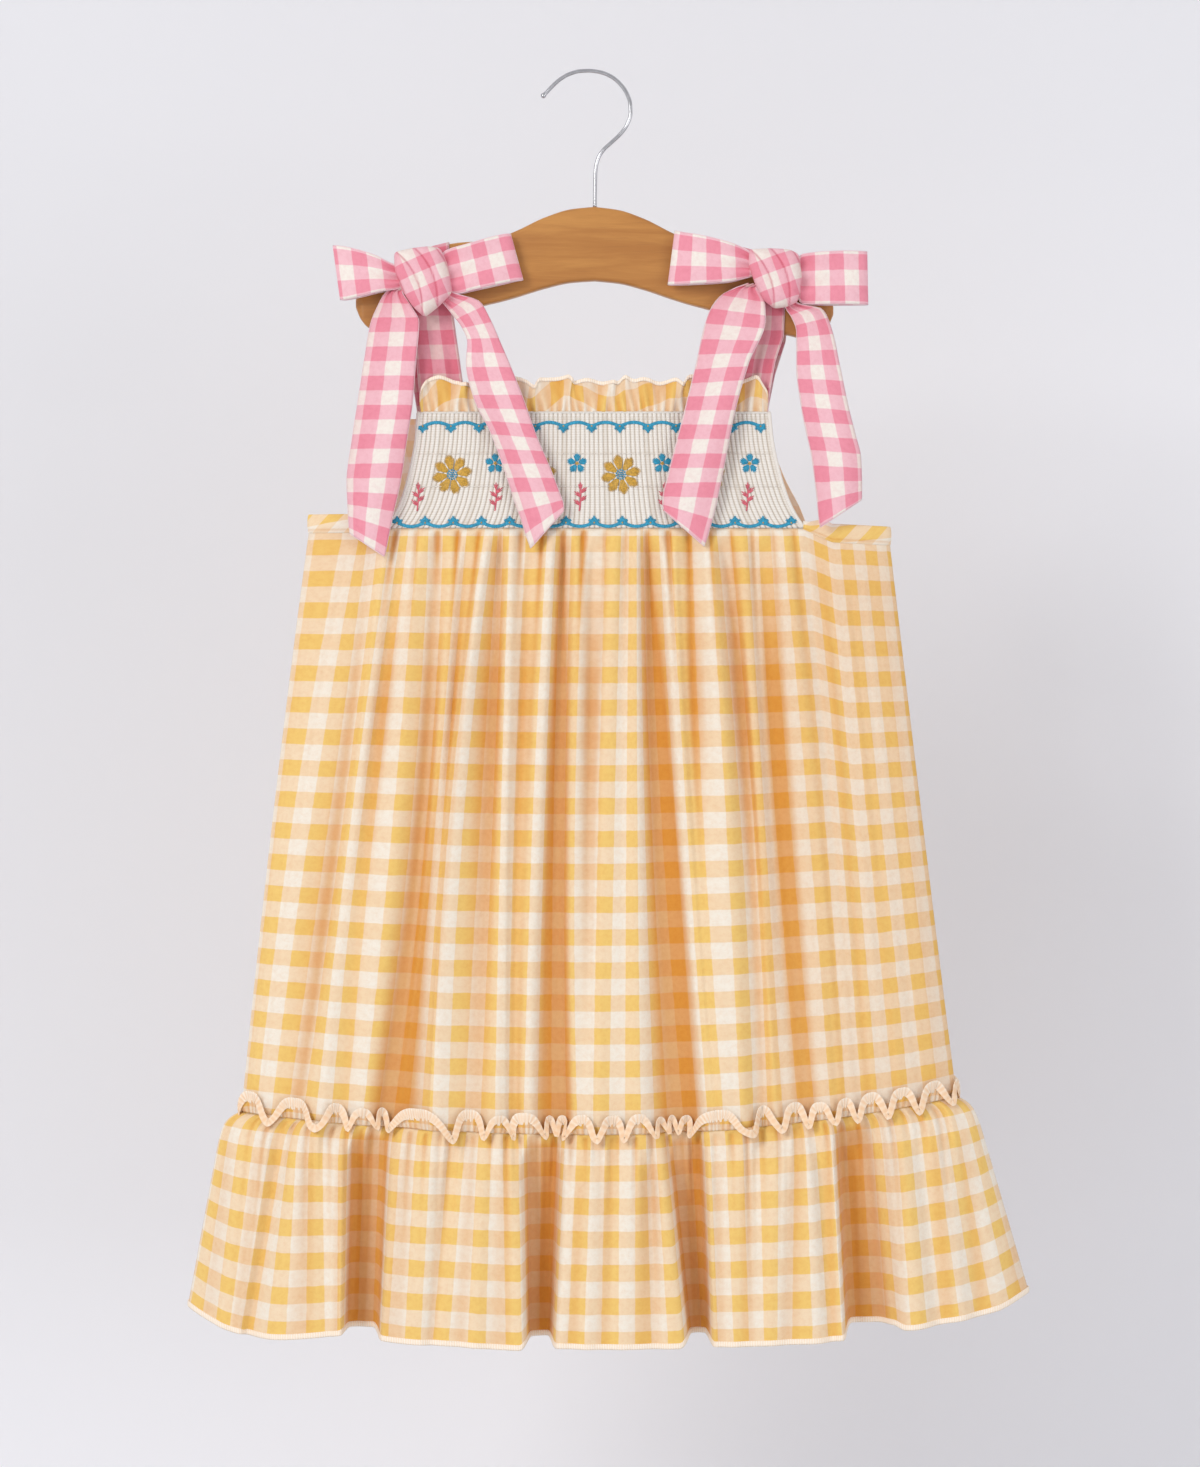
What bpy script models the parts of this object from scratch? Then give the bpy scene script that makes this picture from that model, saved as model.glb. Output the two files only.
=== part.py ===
# A smocked dress on a child's hanger, in millimetres until the mesh is made.
# Origin: inside top of the hook. Front faces -Y, +Z is up, +X is the viewer's right.
import math

import bmesh
import bpy
import numpy as np

for thing in list(bpy.data.objects):
    bpy.data.objects.remove(thing, do_unlink=True)

MM = 0.001
GAP = 0.3
SEAM_Y = 0.15
SKIRT_WALL = 1.5
BODICE_WALL = 1.2
RIBBON_WALL = 1.2
RUFFLE_WALL = 1.1
HEADING_WALL = 1.3
RIB_HEIGHT = 1.0

SIDE_LEFT = -177.0
SIDE_RIGHT = 190.0
BODICE_LEFT = -128.0
BODICE_RIGHT = 135.0
RIB_COUNT = 78
GATHER_PITCH = 6.575
GATHER_COLUMNS = 41
SKIRT_TOP_Z = -288.2

# x_top, x_middle, x_bottom, then the fold's depth at four heights (plus is towards the viewer)
SKIRT_FOLDS = (
    (-177, -200, -219.5, 0, 0, 0, 0),
    (-147.7, -180.6, -204.4, 0, 1, 1, 1),
    (-134.6, -157.5, -183.1, 0, -1.5, -3, -1.5),
    (-121.4, -147.5, -168.1, 1, 1, 1.5, 3),
    (-114.8, -138.1, -155, -2, -4, -1, -1),
    (-108.3, -124.4, -143.1, 1.5, 2.5, 4, 0.5),
    (-95.1, -105, -126.9, -2.5, -4, -5.5, -8),
    (-82, -96.9, -114.4, 1.5, 1, -2, -5),
    (-75.4, -91.2, -103.8, -1.5, -2.5, 2, 0.5),
    (-62.2, -86.2, -95, 3, 5, 6.5, 4.5),
    (-55.7, -64.4, -73.8, -4, -5.5, -3, -1.5),
    (-49.1, -54.4, -57.5, 2.5, 2.5, 3, 2.5),
    (-36, -44.4, -48.1, -2.5, -3, -1.5, -2),
    (-22.8, -31.9, -37.5, 2.5, 3, 2, 0.5),
    (-16.2, -20, -20, -3.5, -6.5, -8, -9),
    (-3.1, -9.4, -7.5, 2, 2.5, 2, 0.5),
    (3.5, 0, -1.2, -3, -3.5, -1, 2),
    (16.7, 10.6, 6.2, 2.5, 2.5, 2.5, 3.5),
    (23.2, 20.6, 18.8, 0, 1, 1.5, 1),
    (29.8, 30, 31.9, 2.5, 3, 3, 3.5),
    (36.4, 45, 58.8, -4.5, -7.5, -8.5, -10),
    (49.5, 60.6, 73.8, 2, 2, 2, 2),
    (62.7, 70, 83.1, -3.5, -3.5, 2, 3.5),
    (75.8, 86.9, 95.6, 4, 5.5, 6.5, 4.5),
    (82.4, 99.4, 106.9, -4.5, -5.5, -2.5, -1.5),
    (95.6, 107.5, 117.5, 1.5, 1, 0.5, 0),
    (108.7, 120, 135, -3, -4, -3, -2),
    (121.8, 138.1, 151.9, 1.5, 1.5, 1, 1),
    (135, 151.9, 165, -1.5, -0.5, 0, 0),
    (161.3, 178.8, 195.6, 0.5, 1, 1, 1),
    (190, 210.5, 232, 0, 0, 0, 0),
)
SKIRT_DEPTH_HEIGHTS = (0.0, 0.3, 0.65, 1.0)
SKIRT_ROWS = (0.0, 0.02, 0.06, 0.13, 0.24, 0.38, 0.53, 0.68, 0.83, 0.94, 1.0)

# x_top, x_middle, x_bottom and the same depths for the back, which the photo does not show
BACK_FOLDS = (
    (-177, -200, -219.5, 0, 0, 0, 0),
    (-147.7, -172, -192, 0.5, 1.5, 2, 2.5),
    (-120, -146, -167, -1.5, -3, -3.5, -4),
    (-98, -120, -140, 1.5, 2.5, 4, 5),
    (-76, -92, -107, -2, -4, -5, -6.5),
    (-54, -66, -78, 1.5, 3, 4, 4),
    (-32, -38, -46, -1.5, -3, -4, -5),
    (-10, -12, -14, 2, 3, 4.5, 5.5),
    (12, 15, 18, -2, -4, -6, -7),
    (34, 42, 50, 1.5, 3, 4, 4.5),
    (56, 68, 80, -1.5, -3, -4.5, -6),
    (78, 94, 110, 2, 3, 4, 5),
    (100, 120, 138, -1.5, -3, -4, -4),
    (128, 148, 166, 1, 2, 3, 3),
    (158, 178, 198, -0.5, -1, -1.5, -1.5),
    (190, 210.5, 232, 0, 0, 0, 0),
)

# x_top, x_hem, depth_top, depth_hem
FLOUNCE_FOLDS = (
    (-230.6, -253.1, 0, 0),
    (-220.6, -236.2, 4, 6),
    (-210, -226.2, 1, 3),
    (-200.6, -220, 4, 6),
    (-190.6, -213.1, -4, -2),
    (-181.9, -188.8, 6, 10),
    (-165.6, -163.1, -1, 2),
    (-155, -155.6, 4, 8),
    (-145.6, -149.4, -10, -15),
    (-131.2, -135.6, -12, -19),
    (-120, -127.5, 3, 8),
    (-99.4, -105.6, 7, 13),
    (-80.6, -91.9, -1, 7),
    (-70, -76.9, 5, 12),
    (-60.6, -63.8, 3, 8),
    (-51.9, -48.8, 4, 11),
    (-43.8, -41.2, 1, 8),
    (-36.9, -35.6, -9, -13),
    (-23.1, -26.9, -13, -19),
    (-13.1, -19.4, 0, 7),
    (-2.5, -7.5, 4, 12),
    (8.1, 5, 6, 14),
    (16.9, 16.2, 3, 9),
    (30, 30, 6, 13),
    (36.9, 41.2, -2, 6),
    (42.5, 51.2, 1, 10),
    (46.9, 58.8, -2, 7),
    (52.5, 65, -11, -15),
    (67.5, 72.5, -13, -19),
    (74.4, 79.4, 2, 8),
    (83.1, 88.1, 1, 8),
    (94.4, 98.1, 5, 13),
    (104.4, 107.5, 0, 9),
    (118.8, 117.5, 7, 14),
    (128.8, 126.9, 4, 10),
    (135.6, 140.6, 4, 11),
    (142.5, 150.6, -1, 6),
    (150.6, 157.5, 0, 8),
    (158.1, 164.4, -12, -15),
    (170.6, 178.1, -10, -14),
    (180, 190.6, -2, 1),
    (194.4, 203.8, 4, 10),
    (205, 218.1, -1, 3),
    (213.8, 230, 4, 8),
    (222.5, 241.9, 1, 3),
    (231.9, 258.1, 3, 5),
    (241.9, 277.5, 0, 0),
)
BACK_FLOUNCE_FOLDS = (
    (-230.6, -253.1, 0, 0),
    (-214, -236, 2.1, 3.6),
    (-196, -214, -1.4, -1.8),
    (-176, -190, 3.5, 6),
    (-156, -170, -2.1, -3.6),
    (-134, -144, 4.2, 7.2),
    (-112, -122, -2.8, -5.4),
    (-92, -98, 3.5, 6.6),
    (-74, -80, -1.4, -2.4),
    (-54, -58, 4.2, 7.8),
    (-34, -36, -2.8, -5.4),
    (-14, -14, 4.2, 7.2),
    (6, 8, -1.4, -2.4),
    (26, 30, 4.2, 7.8),
    (46, 52, -2.8, -6),
    (66, 74, 3.5, 6.6),
    (88, 98, -2.1, -3.6),
    (110, 122, 4.2, 7.2),
    (132, 146, -2.8, -5.4),
    (154, 170, 3.5, 6.6),
    (176, 196, -1.4, -2.4),
    (198, 222, 3.5, 5.4),
    (220, 250, -0.7, 0),
    (241.9, 277.5, 0, 0),
)
FLOUNCE_ROWS = (0.0, 0.05, 0.14, 0.3, 0.5, 0.75, 1.0)
# x, z along the front hem
HEM = (
    (-253.8, -777.5),
    (-236.9, -786.2),
    (-222.5, -791.9),
    (-197.5, -795),
    (-165, -793.1),
    (-155.6, -791.9),
    (-150.6, -789.4),
    (-135.6, -789.4),
    (-130.6, -794.4),
    (-86.9, -797.5),
    (-43.1, -800),
    (-36.2, -794.4),
    (-25.6, -794.4),
    (-20.6, -798.8),
    (19.4, -799.4),
    (56.9, -798.8),
    (63.8, -792.5),
    (72.5, -792.5),
    (78.1, -798.1),
    (119.4, -796.9),
    (158.1, -794.4),
    (165, -786.9),
    (190, -786.2),
    (197.5, -788.8),
    (221.9, -785.6),
    (254.4, -779.4),
    (278.1, -768.8),
)

# half-depth of the hanging body against the height
BODY_DEPTH_Z = (-800.0, -668.0, -420.0, -290.0, -215.0)
BODY_DEPTH = (38.0, 31.0, 20.0, 16.0, 13.5)

# x, z along the middle of the hook's wire
HOOK_PATH = (
    (-30, -15.62),
    (-27.2, -12.81),
    (-23.1, -8.44),
    (-18.1, -4.06),
    (-11.9, -0.62),
    (-5.6, 1),
    (0, 1.25),
    (6.9, 0.37),
    (13.8, -2.37),
    (19.4, -6.88),
    (23.8, -13.12),
    (26, -20),
    (26.2, -25.62),
    (24.1, -32.5),
    (19.7, -38.75),
    (14.1, -44.06),
    (9.1, -48.75),
    (5.8, -54.06),
    (4.2, -60.62),
    (3.8, -71.25),
    (3.6, -84.69),
)
HOOK_RADIUS = 1.25

HANGER_CENTRE_X = 3.5
HANGER_HALF_THICKNESS = 6.0
HANGER_TILT = -0.0145
# distance from the middle, z of the top edge, z of the lower edge
HANGER_OUTLINE = (
    (0.0, -85.0, -131.5),
    (15.0, -86.8, -132.8),
    (31.0, -92.0, -136.6),
    (50.0, -101.2, -142.7),
    (60.0, -105.2, -145.6),
    (68.8, -107.5, -147.8),
    (78.0, -108.2, -150.4),
    (85.0, -108.8, -152.5),
    (92.0, -109.9, -154.6),
    (102.0, -112.4, -157.8),
    (112.0, -116.0, -161.0),
    (122.0, -120.6, -164.0),
    (134.0, -128.0, -166.0),
    (142.0, -134.5, -163.5),
    (147.5, -140.0, -158.0),
    (150.6, -145.0, -151.0),
)
STRAP_LEFT_X = (-118.5, -108.5, -98.5, -88.5)
STRAP_RIGHT_X = (95.5, 105.5, 115.5, 125.5)

# each row: one edge (x, z), other edge (x, z), then depth at edge, middle and other edge
TAILS = {
    "bow_tail_outer_left": (
    (-126.9, -139.4, -117.7, -139.4, -13, -14, -15),
    (-133.1, -149.4, -111.2, -150, -14, -16.5, -17),
    (-136.9, -158.8, -106.9, -158.8, -15, -18, -18),
    (-141.2, -183.8, -108.8, -183.8, -17.5, -20.5, -19.5),
    (-145, -208.8, -110.6, -208.8, -19, -22, -20.5),
    (-148.8, -233.8, -114.4, -233.8, -20, -23, -21.5),
    (-151.9, -258.8, -118.1, -258.8, -20.5, -23, -21.5),
    (-151.2, -277.5, -123.8, -283.8, -20, -22.5, -21),
    (-150.3, -291.6, -128.1, -306.2, -20, -22.5, -21.5),
    ),
    "bow_tail_inner_left": (
    (-91.4, -146.8, -85.2, -140.6, -14, -15, -15),
    (-85.6, -154.4, -69.4, -145.6, -15, -18.5, -17),
    (-80, -161.9, -61.9, -157.5, -18, -20.5, -18.5),
    (-76.2, -171.9, -55.6, -171.9, -20, -22, -20),
    (-76.9, -185, -50, -185, -21.5, -23.5, -22),
    (-72.5, -205.6, -41.9, -205.6, -23.5, -25.5, -24.5),
    (-61.2, -229.4, -32.5, -231.9, -23, -25, -24.5),
    (-53.8, -249.4, -25, -249.4, -22.5, -24.5, -24),
    (-47.5, -268.8, -18.1, -267.5, -22.5, -24.5, -24),
    (-41.9, -285, -16.2, -273.1, -23, -25, -24.5),
    (-36.9, -301.2, -15.6, -277.5, -23.5, -25, -24.5),
    ),
    "bow_tail_inner_right": (
    (93.1, -136.9, 105, -137.2, -13, -14, -15),
    (83.1, -141.9, 110.2, -146.5, -14, -16.5, -16.5),
    (75.6, -152.5, 110.6, -156.9, -16, -18.5, -18),
    (66.9, -186.9, 100, -185, -20, -22.5, -21),
    (59.4, -217.5, 90.9, -217.5, -23.5, -25.5, -24),
    (51.6, -247.5, 85, -247.5, -23, -25, -23.5),
    (46.2, -271.2, 79.4, -274.4, -22.5, -24.5, -23),
    (46.9, -277.5, 72.5, -300, -22.5, -24.5, -23.5),
    ),
    "bow_tail_outer_right": (
    (123.9, -150.1, 130.9, -147, -14, -15, -14),
    (127.5, -156.2, 145.6, -150, -15, -17.5, -15),
    (130.3, -165, 151.9, -161.9, -17, -19.5, -16.5),
    (130.3, -186.9, 157.5, -186.9, -19, -21, -18.5),
    (133.1, -211.2, 163.1, -213.8, -20, -22, -19.5),
    (136.2, -227.5, 166.9, -228.8, -20.5, -22.5, -20),
    (139.4, -241.9, 170.6, -244.4, -20.5, -22.5, -20),
    (142.5, -265, 171.2, -261.9, -20, -22, -19.5),
    (144.7, -287.9, 171.2, -270.6, -20, -22, -19.5),
    ),
}
# each row: top edge (x, z), lower edge (x, z), depth; out along the front, back along the rear
LOOPS = {
    "bow_loop_outer_left": (
    (-123.8, -122.5, -120.3, -137.5, -16),
    (-133.8, -117.5, -131.2, -139.4, -18.5),
    (-147.5, -113.1, -143.8, -142.5, -18),
    (-158.1, -110.9, -153.8, -144.4, -15.5),
    (-161.2, -110.6, -156.6, -144.4, -12.5),
    (-158.1, -110.9, -153.8, -144.4, -9.8),
    (-147.5, -113.1, -143.8, -142.5, -8.6),
    (-133.8, -117.5, -131.2, -139.4, -8.6),
    (-123.8, -122.5, -120.3, -137.5, -9),
    ),
    "bow_loop_inner_left": (
    (-90, -114.4, -84.1, -140.6, -16.5),
    (-77.5, -110.6, -71.2, -138.1, -19.5),
    (-63.1, -106.2, -55.6, -134.7, -18.5),
    (-51.9, -103.4, -44.1, -132.2, -15.5),
    (-49.1, -103.1, -41.2, -131.9, -12.5),
    (-51.9, -103.4, -44.1, -132.2, -9.8),
    (-63.1, -106.2, -55.6, -134.7, -8.6),
    (-77.5, -110.6, -71.2, -138.1, -8.6),
    (-90, -114.4, -84.1, -140.6, -9),
    ),
    "bow_loop_inner_right": (
    (99.1, -113.8, 99.1, -130.6, -16),
    (86.9, -108.8, 88.1, -133.1, -19),
    (69.4, -104.4, 68.8, -134.4, -18.5),
    (56.2, -101.9, 52.2, -135, -15.5),
    (53.8, -101.2, 49.4, -135, -12.5),
    (56.2, -101.9, 52.2, -135, -9.8),
    (69.4, -104.4, 68.8, -134.4, -8.6),
    (86.9, -108.8, 88.1, -133.1, -8.6),
    (99.1, -113.8, 99.1, -130.6, -9),
    ),
    "bow_loop_outer_right": (
    (134.7, -116.2, 134.7, -146.9, -16),
    (147.5, -115, 148.1, -147.5, -19),
    (161.9, -114.4, 163.1, -147.5, -18.5),
    (172.5, -114.4, 173.1, -147.5, -15.5),
    (175, -114.4, 175.6, -147.5, -12.5),
    (172.5, -114.4, 173.1, -147.5, -9.8),
    (161.9, -114.4, 163.1, -147.5, -8.6),
    (147.5, -115, 148.1, -147.5, -8.6),
    (134.7, -116.2, 134.7, -146.9, -9),
    ),
}
KNOTS = {
    "bow_knot_left": (
    (-122.5, -115),
    (-111.9, -112.5),
    (-100.6, -111.2),
    (-93.1, -112.5),
    (-88.8, -122.5),
    (-85.6, -140),
    (-93.1, -148.1),
    (-103.1, -156.2),
    (-110.6, -149.4),
    (-116.9, -140),
    (-121.9, -127.5),
    ),
    "bow_knot_right": (
    (100.6, -113.1),
    (113.1, -112.5),
    (125.6, -113.1),
    (131.9, -116.2),
    (133.8, -130.6),
    (131.2, -146.2),
    (124.4, -149.4),
    (116.2, -150.6),
    (109.4, -145),
    (103.8, -133.8),
    (100, -122.5),
    ),
}
# size of the knot's outline and its depth, from the back to the front
KNOT_RINGS = (
    (0.74, -7.9),
    (0.96, -10.5),
    (1.0, -15.5),
    (0.95, -20.0),
    (0.78, -23.5),
    (0.45, -25.8),
)

GINGHAM_YELLOW = (0.97, 0.86, 0.62)
GINGHAM_PINK = (0.98, 0.72, 0.78)
SMOCKING_WHITE = (0.93, 0.91, 0.87)
WOOD = (0.62, 0.40, 0.20)
CHROME = (0.75, 0.76, 0.78)


def make_material(name, color, roughness, metallic=0.0):
    material = bpy.data.materials.new(name)
    material.use_nodes = True
    shader = material.node_tree.nodes["Principled BSDF"]
    shader.inputs["Base Color"].default_value = (*color, 1.0)
    shader.inputs["Roughness"].default_value = roughness
    shader.inputs["Metallic"].default_value = metallic
    return material


MATERIALS = {
    "yellow": make_material("yellow_gingham", GINGHAM_YELLOW, 0.85),
    "pink": make_material("pink_gingham", GINGHAM_PINK, 0.85),
    "white": make_material("smocked_white", SMOCKING_WHITE, 0.85),
    "edge": make_material("peach_edging", (0.97, 0.85, 0.76), 0.85),
    "wood": make_material("hanger_wood", WOOD, 0.45),
    "chrome": make_material("hook_chrome", CHROME, 0.2, 1.0),
}


def add_object(name, points, faces, material):
    mesh = bpy.data.meshes.new(name)
    mesh.from_pydata([tuple(c * MM for c in p) for p in points], [], faces)
    work = bmesh.new()
    work.from_mesh(mesh)
    bmesh.ops.recalc_face_normals(work, faces=work.faces)
    work.to_mesh(mesh)
    work.free()
    mesh.materials.append(MATERIALS[material])
    thing = bpy.data.objects.new(name, mesh)
    bpy.context.scene.collection.objects.link(thing)
    return thing


def add_shell(name, outer, inner, material):
    """One closed wall between two grids of points of the same size."""
    outer = np.asarray(outer, float)
    inner = np.asarray(inner, float)
    rows, columns = outer.shape[:2]
    points = np.concatenate([outer.reshape(-1, 3), inner.reshape(-1, 3)])
    inside = rows * columns
    faces = []

    def quad(a, b, c, d):
        faces.append((a, b, c))
        faces.append((a, c, d))

    for i in range(rows - 1):
        for j in range(columns - 1):
            a = i * columns + j
            quad(a, a + 1, a + columns + 1, a + columns)
            faces.append((inside + a, inside + a + columns + 1, inside + a + 1))
            faces.append((inside + a, inside + a + columns, inside + a + columns + 1))
    for j in range(columns - 1):
        last = (rows - 1) * columns + j
        quad(j + 1, j, inside + j, inside + j + 1)
        quad(last, last + 1, inside + last + 1, inside + last)
    for i in range(rows - 1):
        first = i * columns
        end = first + columns - 1
        quad(first, first + columns, inside + first + columns, inside + first)
        quad(end + columns, end, inside + end, inside + end + columns)
    return add_object(name, points, faces, material)


def grid_normals(grid):
    """Outward directions of a grid whose rows run down and whose columns run round the body."""
    grid = np.asarray(grid, float)
    along = np.gradient(grid, axis=1)
    down = np.gradient(grid, axis=0)
    normals = np.cross(down, along)
    return normals / np.linalg.norm(normals, axis=2, keepdims=True)


def add_cloth(name, outer, wall, material, side_seams=True):
    """A panel whose ends lie in the side seam's plane when side_seams is set."""
    outer = np.asarray(outer, float)
    inner = outer - wall * grid_normals(outer)
    if side_seams:
        for column in (0, -1):
            towards_middle = np.sign(np.mean(outer[:, :, 0]) - outer[:, column, 0])
            inner[:, column] = outer[:, column]
            inner[:, column, 0] += towards_middle * wall
        inner[0, :, 2] = outer[0, :, 2]
        inner[-1, :, 2] = outer[-1, :, 2]
    return add_shell(name, outer, inner, material)


def body_profile(x, left, right):
    middle = (left + right) / 2
    reach = np.clip(abs((x - middle) / ((right - left) / 2)), 0.0, 1.0)
    return math.sqrt(max(0.0, 1.0 - reach ** 2.6))


def body_depth(z):
    return float(np.interp(z, BODY_DEPTH_Z, BODY_DEPTH))


def body_y(x, z):
    """Distance of the cloth from the middle plane at the bodice."""
    return SEAM_Y + body_depth(z) * body_profile(x, SIDE_LEFT, SIDE_RIGHT)


def three_heights(top, middle, bottom, t):
    return top * (1 - t) * (1 - 2 * t) + middle * 4 * t * (1 - t) + bottom * t * (2 * t - 1)


def ease(value):
    value = min(1.0, max(0.0, value))
    return value * value * (3 - 2 * value)


def skirt_top_z(x):
    marks = (-140, BODICE_LEFT, BODICE_RIGHT, 153, 190)
    heights = (-290.3, SKIRT_TOP_Z, SKIRT_TOP_Z, -296.5, -298.0)
    return float(np.interp(x, marks, heights))


def seam_z(x):
    rise = 12.4 if x < 0 else 22.0
    end = -219.5 if x < 0 else 232.0
    return -668.0 + rise * (x / end) ** 2


def skirt_point(x_top, t, folds, side, gather):
    """One point of the skirt's outside; side is -1 at the front and 1 at the back."""
    table = np.array(folds)
    x_middle = np.interp(x_top, table[:, 0], table[:, 1])
    x_bottom = np.interp(x_top, table[:, 0], table[:, 2])
    x = three_heights(x_top, x_middle, x_bottom, t)
    left = three_heights(*table[0, :3], t)
    right = three_heights(*table[-1, :3], t)
    depths = [np.interp(x_top, table[:, 0], table[:, 3 + k]) for k in range(4)]
    depth = np.interp(t, SKIRT_DEPTH_HEIGHTS, depths) * ease(t / 0.05)
    depth += gather * ease(t / 0.02) * math.exp(-t / 0.09)
    top = skirt_top_z(x_top)
    z = top + t * (seam_z(x_bottom) - top)
    if x_top in (SIDE_LEFT, SIDE_RIGHT):
        return (x, side * SEAM_Y, z)
    round_off = body_profile(x, left, right)
    y = SEAM_Y + body_depth(z) * round_off + depth * min(1.0, round_off * 1.5)
    return (x, side * y, z)


def front_columns():
    left = [SIDE_LEFT, -173.5, -166.0, -157.0, -147.7, -134.6]
    middle = [round(BODICE_LEFT + GATHER_PITCH * k, 3) for k in range(GATHER_COLUMNS)]
    right = [141.6, 151.0, 162.0, 173.0, 181.5, 187.0, SIDE_RIGHT]
    gathers = [0.0] * 6 + [1.3 if k % 2 == 0 else -1.3 for k in range(GATHER_COLUMNS)] + [0.0] * 7
    return left + middle + right, gathers


def back_columns():
    columns = [SIDE_RIGHT, 187.0, 181.0, 170.0, 158.0, 143.0]
    columns += [round(128 - 11 * k, 3) for k in range(24)]
    columns += [-136.0, -147.7, -159.0, -168.0, -174.0, SIDE_LEFT]
    gathers = [0.0] * 6 + [1.2 if k % 2 == 0 else -1.2 for k in range(24)] + [0.0] * 6
    return columns, gathers


def skirt_grid(columns, gathers, folds, side):
    rows = []
    for t in SKIRT_ROWS:
        rows.append([skirt_point(x, t, folds, side, gather) for x, gather in zip(columns, gathers)])
    return np.array(rows)


front_grid = skirt_grid(*front_columns(), SKIRT_FOLDS, -1)
back_grid = skirt_grid(*back_columns(), BACK_FOLDS, 1)
add_cloth("front_skirt", front_grid, SKIRT_WALL, "yellow")
add_cloth("back_skirt", back_grid, SKIRT_WALL, "yellow")


def flounce_grid(folds, side, seam, hem):
    """The flounce's outside: on the skirt's edge at the top, in deep flutes at the hem."""
    table = np.array(folds)
    order = np.argsort(seam[:, 0])
    seam_x = seam[order, 0]
    seam_y = seam[order, 1]
    ends = (table[0, 0], table[-1, 0])
    start = (seam_x[0], seam_x[-1])
    columns = []
    for k, row in enumerate(table):
        columns.append(row)
        if k in (0, len(table) - 2):
            share = 0.35 if k == 0 else 0.65
            columns.append(row + share * (table[k + 1] - row))
    if side > 0:
        columns = columns[::-1]
    grid = []
    for t in FLOUNCE_ROWS:
        line = []
        for x_top, x_hem, depth_top, depth_hem in columns:
            end = 0 if x_top < 0 else 1
            share = abs(x_top / ends[end])
            pull = (start[end] - ends[end]) * share ** 3 * math.exp(-t / 0.035)
            x = x_top + (x_hem - x_top) * t + pull
            x_start = x_top + (start[end] - ends[end]) * share ** 3
            left = ends[0] + (table[0, 1] - ends[0]) * t
            right = ends[1] + (table[-1, 1] - ends[1]) * t
            top = seam_z(x_start) - GAP
            z = top + t * (float(np.interp(x_hem, *hem)) - top)
            if x_top in ends:
                line.append((x, side * SEAM_Y, z))
                continue
            y_seam = abs(float(np.interp(x_start, seam_x, seam_y)))
            round_off = body_profile(x, left, right)
            depth = depth_top + (depth_hem - depth_top) * t
            y = SEAM_Y + body_depth(z) * round_off + depth * min(1.0, round_off * 1.3)
            y = y_seam + (y - y_seam) * ease(t / 0.22)
            line.append((x, side * max(y, SEAM_Y + 1.2), z))
        grid.append(line)
    return np.array(grid)


hem_table = np.array(HEM)
back_hem = (np.array([-253.1, -200.0, -100.0, 0.0, 120.0, 210.0, 278.1]),
            np.array([-777.5, -793.0, -797.0, -799.0, -797.0, -788.0, -768.8]))
front_flounce = flounce_grid(FLOUNCE_FOLDS, -1, front_grid[-1], (hem_table[:, 0], hem_table[:, 1]))
back_flounce = flounce_grid(BACK_FLOUNCE_FOLDS, 1, back_grid[-1], back_hem)
add_cloth("flounce_front", front_flounce, SKIRT_WALL, "yellow")
add_cloth("flounce_back", back_flounce, SKIRT_WALL, "yellow")


def edge_normals(points):
    """Outward directions in plan of a line that runs round the body."""
    step = np.gradient(points, axis=0)
    normals = np.stack([step[:, 1], -step[:, 0], np.zeros(len(step))], axis=1)
    return normals / np.linalg.norm(normals, axis=1, keepdims=True)


def add_heading(name, seam, side, waves):
    """The frilled upper edge of the flounce, standing on the skirt just over the seam."""
    splits = 3 if side < 0 else 2
    base = [seam[0]]
    for a, b in zip(seam[:-1], seam[1:]):
        parts = splits if abs(b[0] - a[0]) > 6.0 else 1
        base += [a + (b - a) * (k + 1) / parts for k in range(parts)]
    base = np.array(base)
    normals = edge_normals(base)
    normals[0] = (-1, 0, 0) if side < 0 else (1, 0, 0)
    normals[-1] = (1, 0, 0) if side < 0 else (-1, 0, 0)
    length = np.concatenate([[0], np.cumsum(np.linalg.norm(np.diff(base, axis=0), axis=1))])
    phase = 2 * math.pi * waves * length / length[-1]
    fade = np.minimum(1.0, np.minimum(length, length[-1] - length) / 8.0)
    lean = (0.5 - 0.5 * np.cos(phase + 0.6 * np.sin(phase * 0.31))) * fade
    # height over the seam and distance from the skirt at the foot, the bend and the free edge
    rows = (
        (0.4 + 0.0 * lean, 0.0 * lean),
        (2.5 + 0.0 * lean, (0.8 + 0.6 * lean) * fade),
        (12.0 - 6.5 * lean, (2.0 + 3.2 * lean) * fade),
    )
    outer = []
    inner = []
    for rise, push in rows:
        inner_line = base + normals * (0.36 + push)[:, None]
        outer_line = base + normals * (0.36 + HEADING_WALL + push)[:, None]
        inner_line[:, 2] += rise
        outer_line[:, 2] += rise
        inner.append(inner_line)
        outer.append(outer_line)
    outer = np.array(outer[::-1])
    inner = np.array(inner[::-1])
    for column in (0, -1):
        outer[:, column, 1] = side * SEAM_Y
        inner[:, column, 1] = side * SEAM_Y
    add_shell(name, outer, inner, "edge")


add_heading("flounce_heading_front", front_grid[-1], -1, 28)
add_heading("flounce_heading_back", back_grid[-1], 1, 16)

# z, left edge and right edge of the bodice's front and back
FRONT_BODICE_ROWS = (
    (-215.3, -107.0, 113.0),
    (-245.0, -110.5, 117.0),
    (-270.0, -117.0, 124.5),
    (-287.9, -128.0, 135.0),
)
BACK_BODICE_ROWS = (
    (-218.0, -113.5, 115.0),
    (-235.0, -117.0, 117.0),
    (-255.0, -120.8, 123.8),
    (-274.0, -124.5, 133.5),
    (-287.9, -128.0, 139.0),
)


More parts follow.
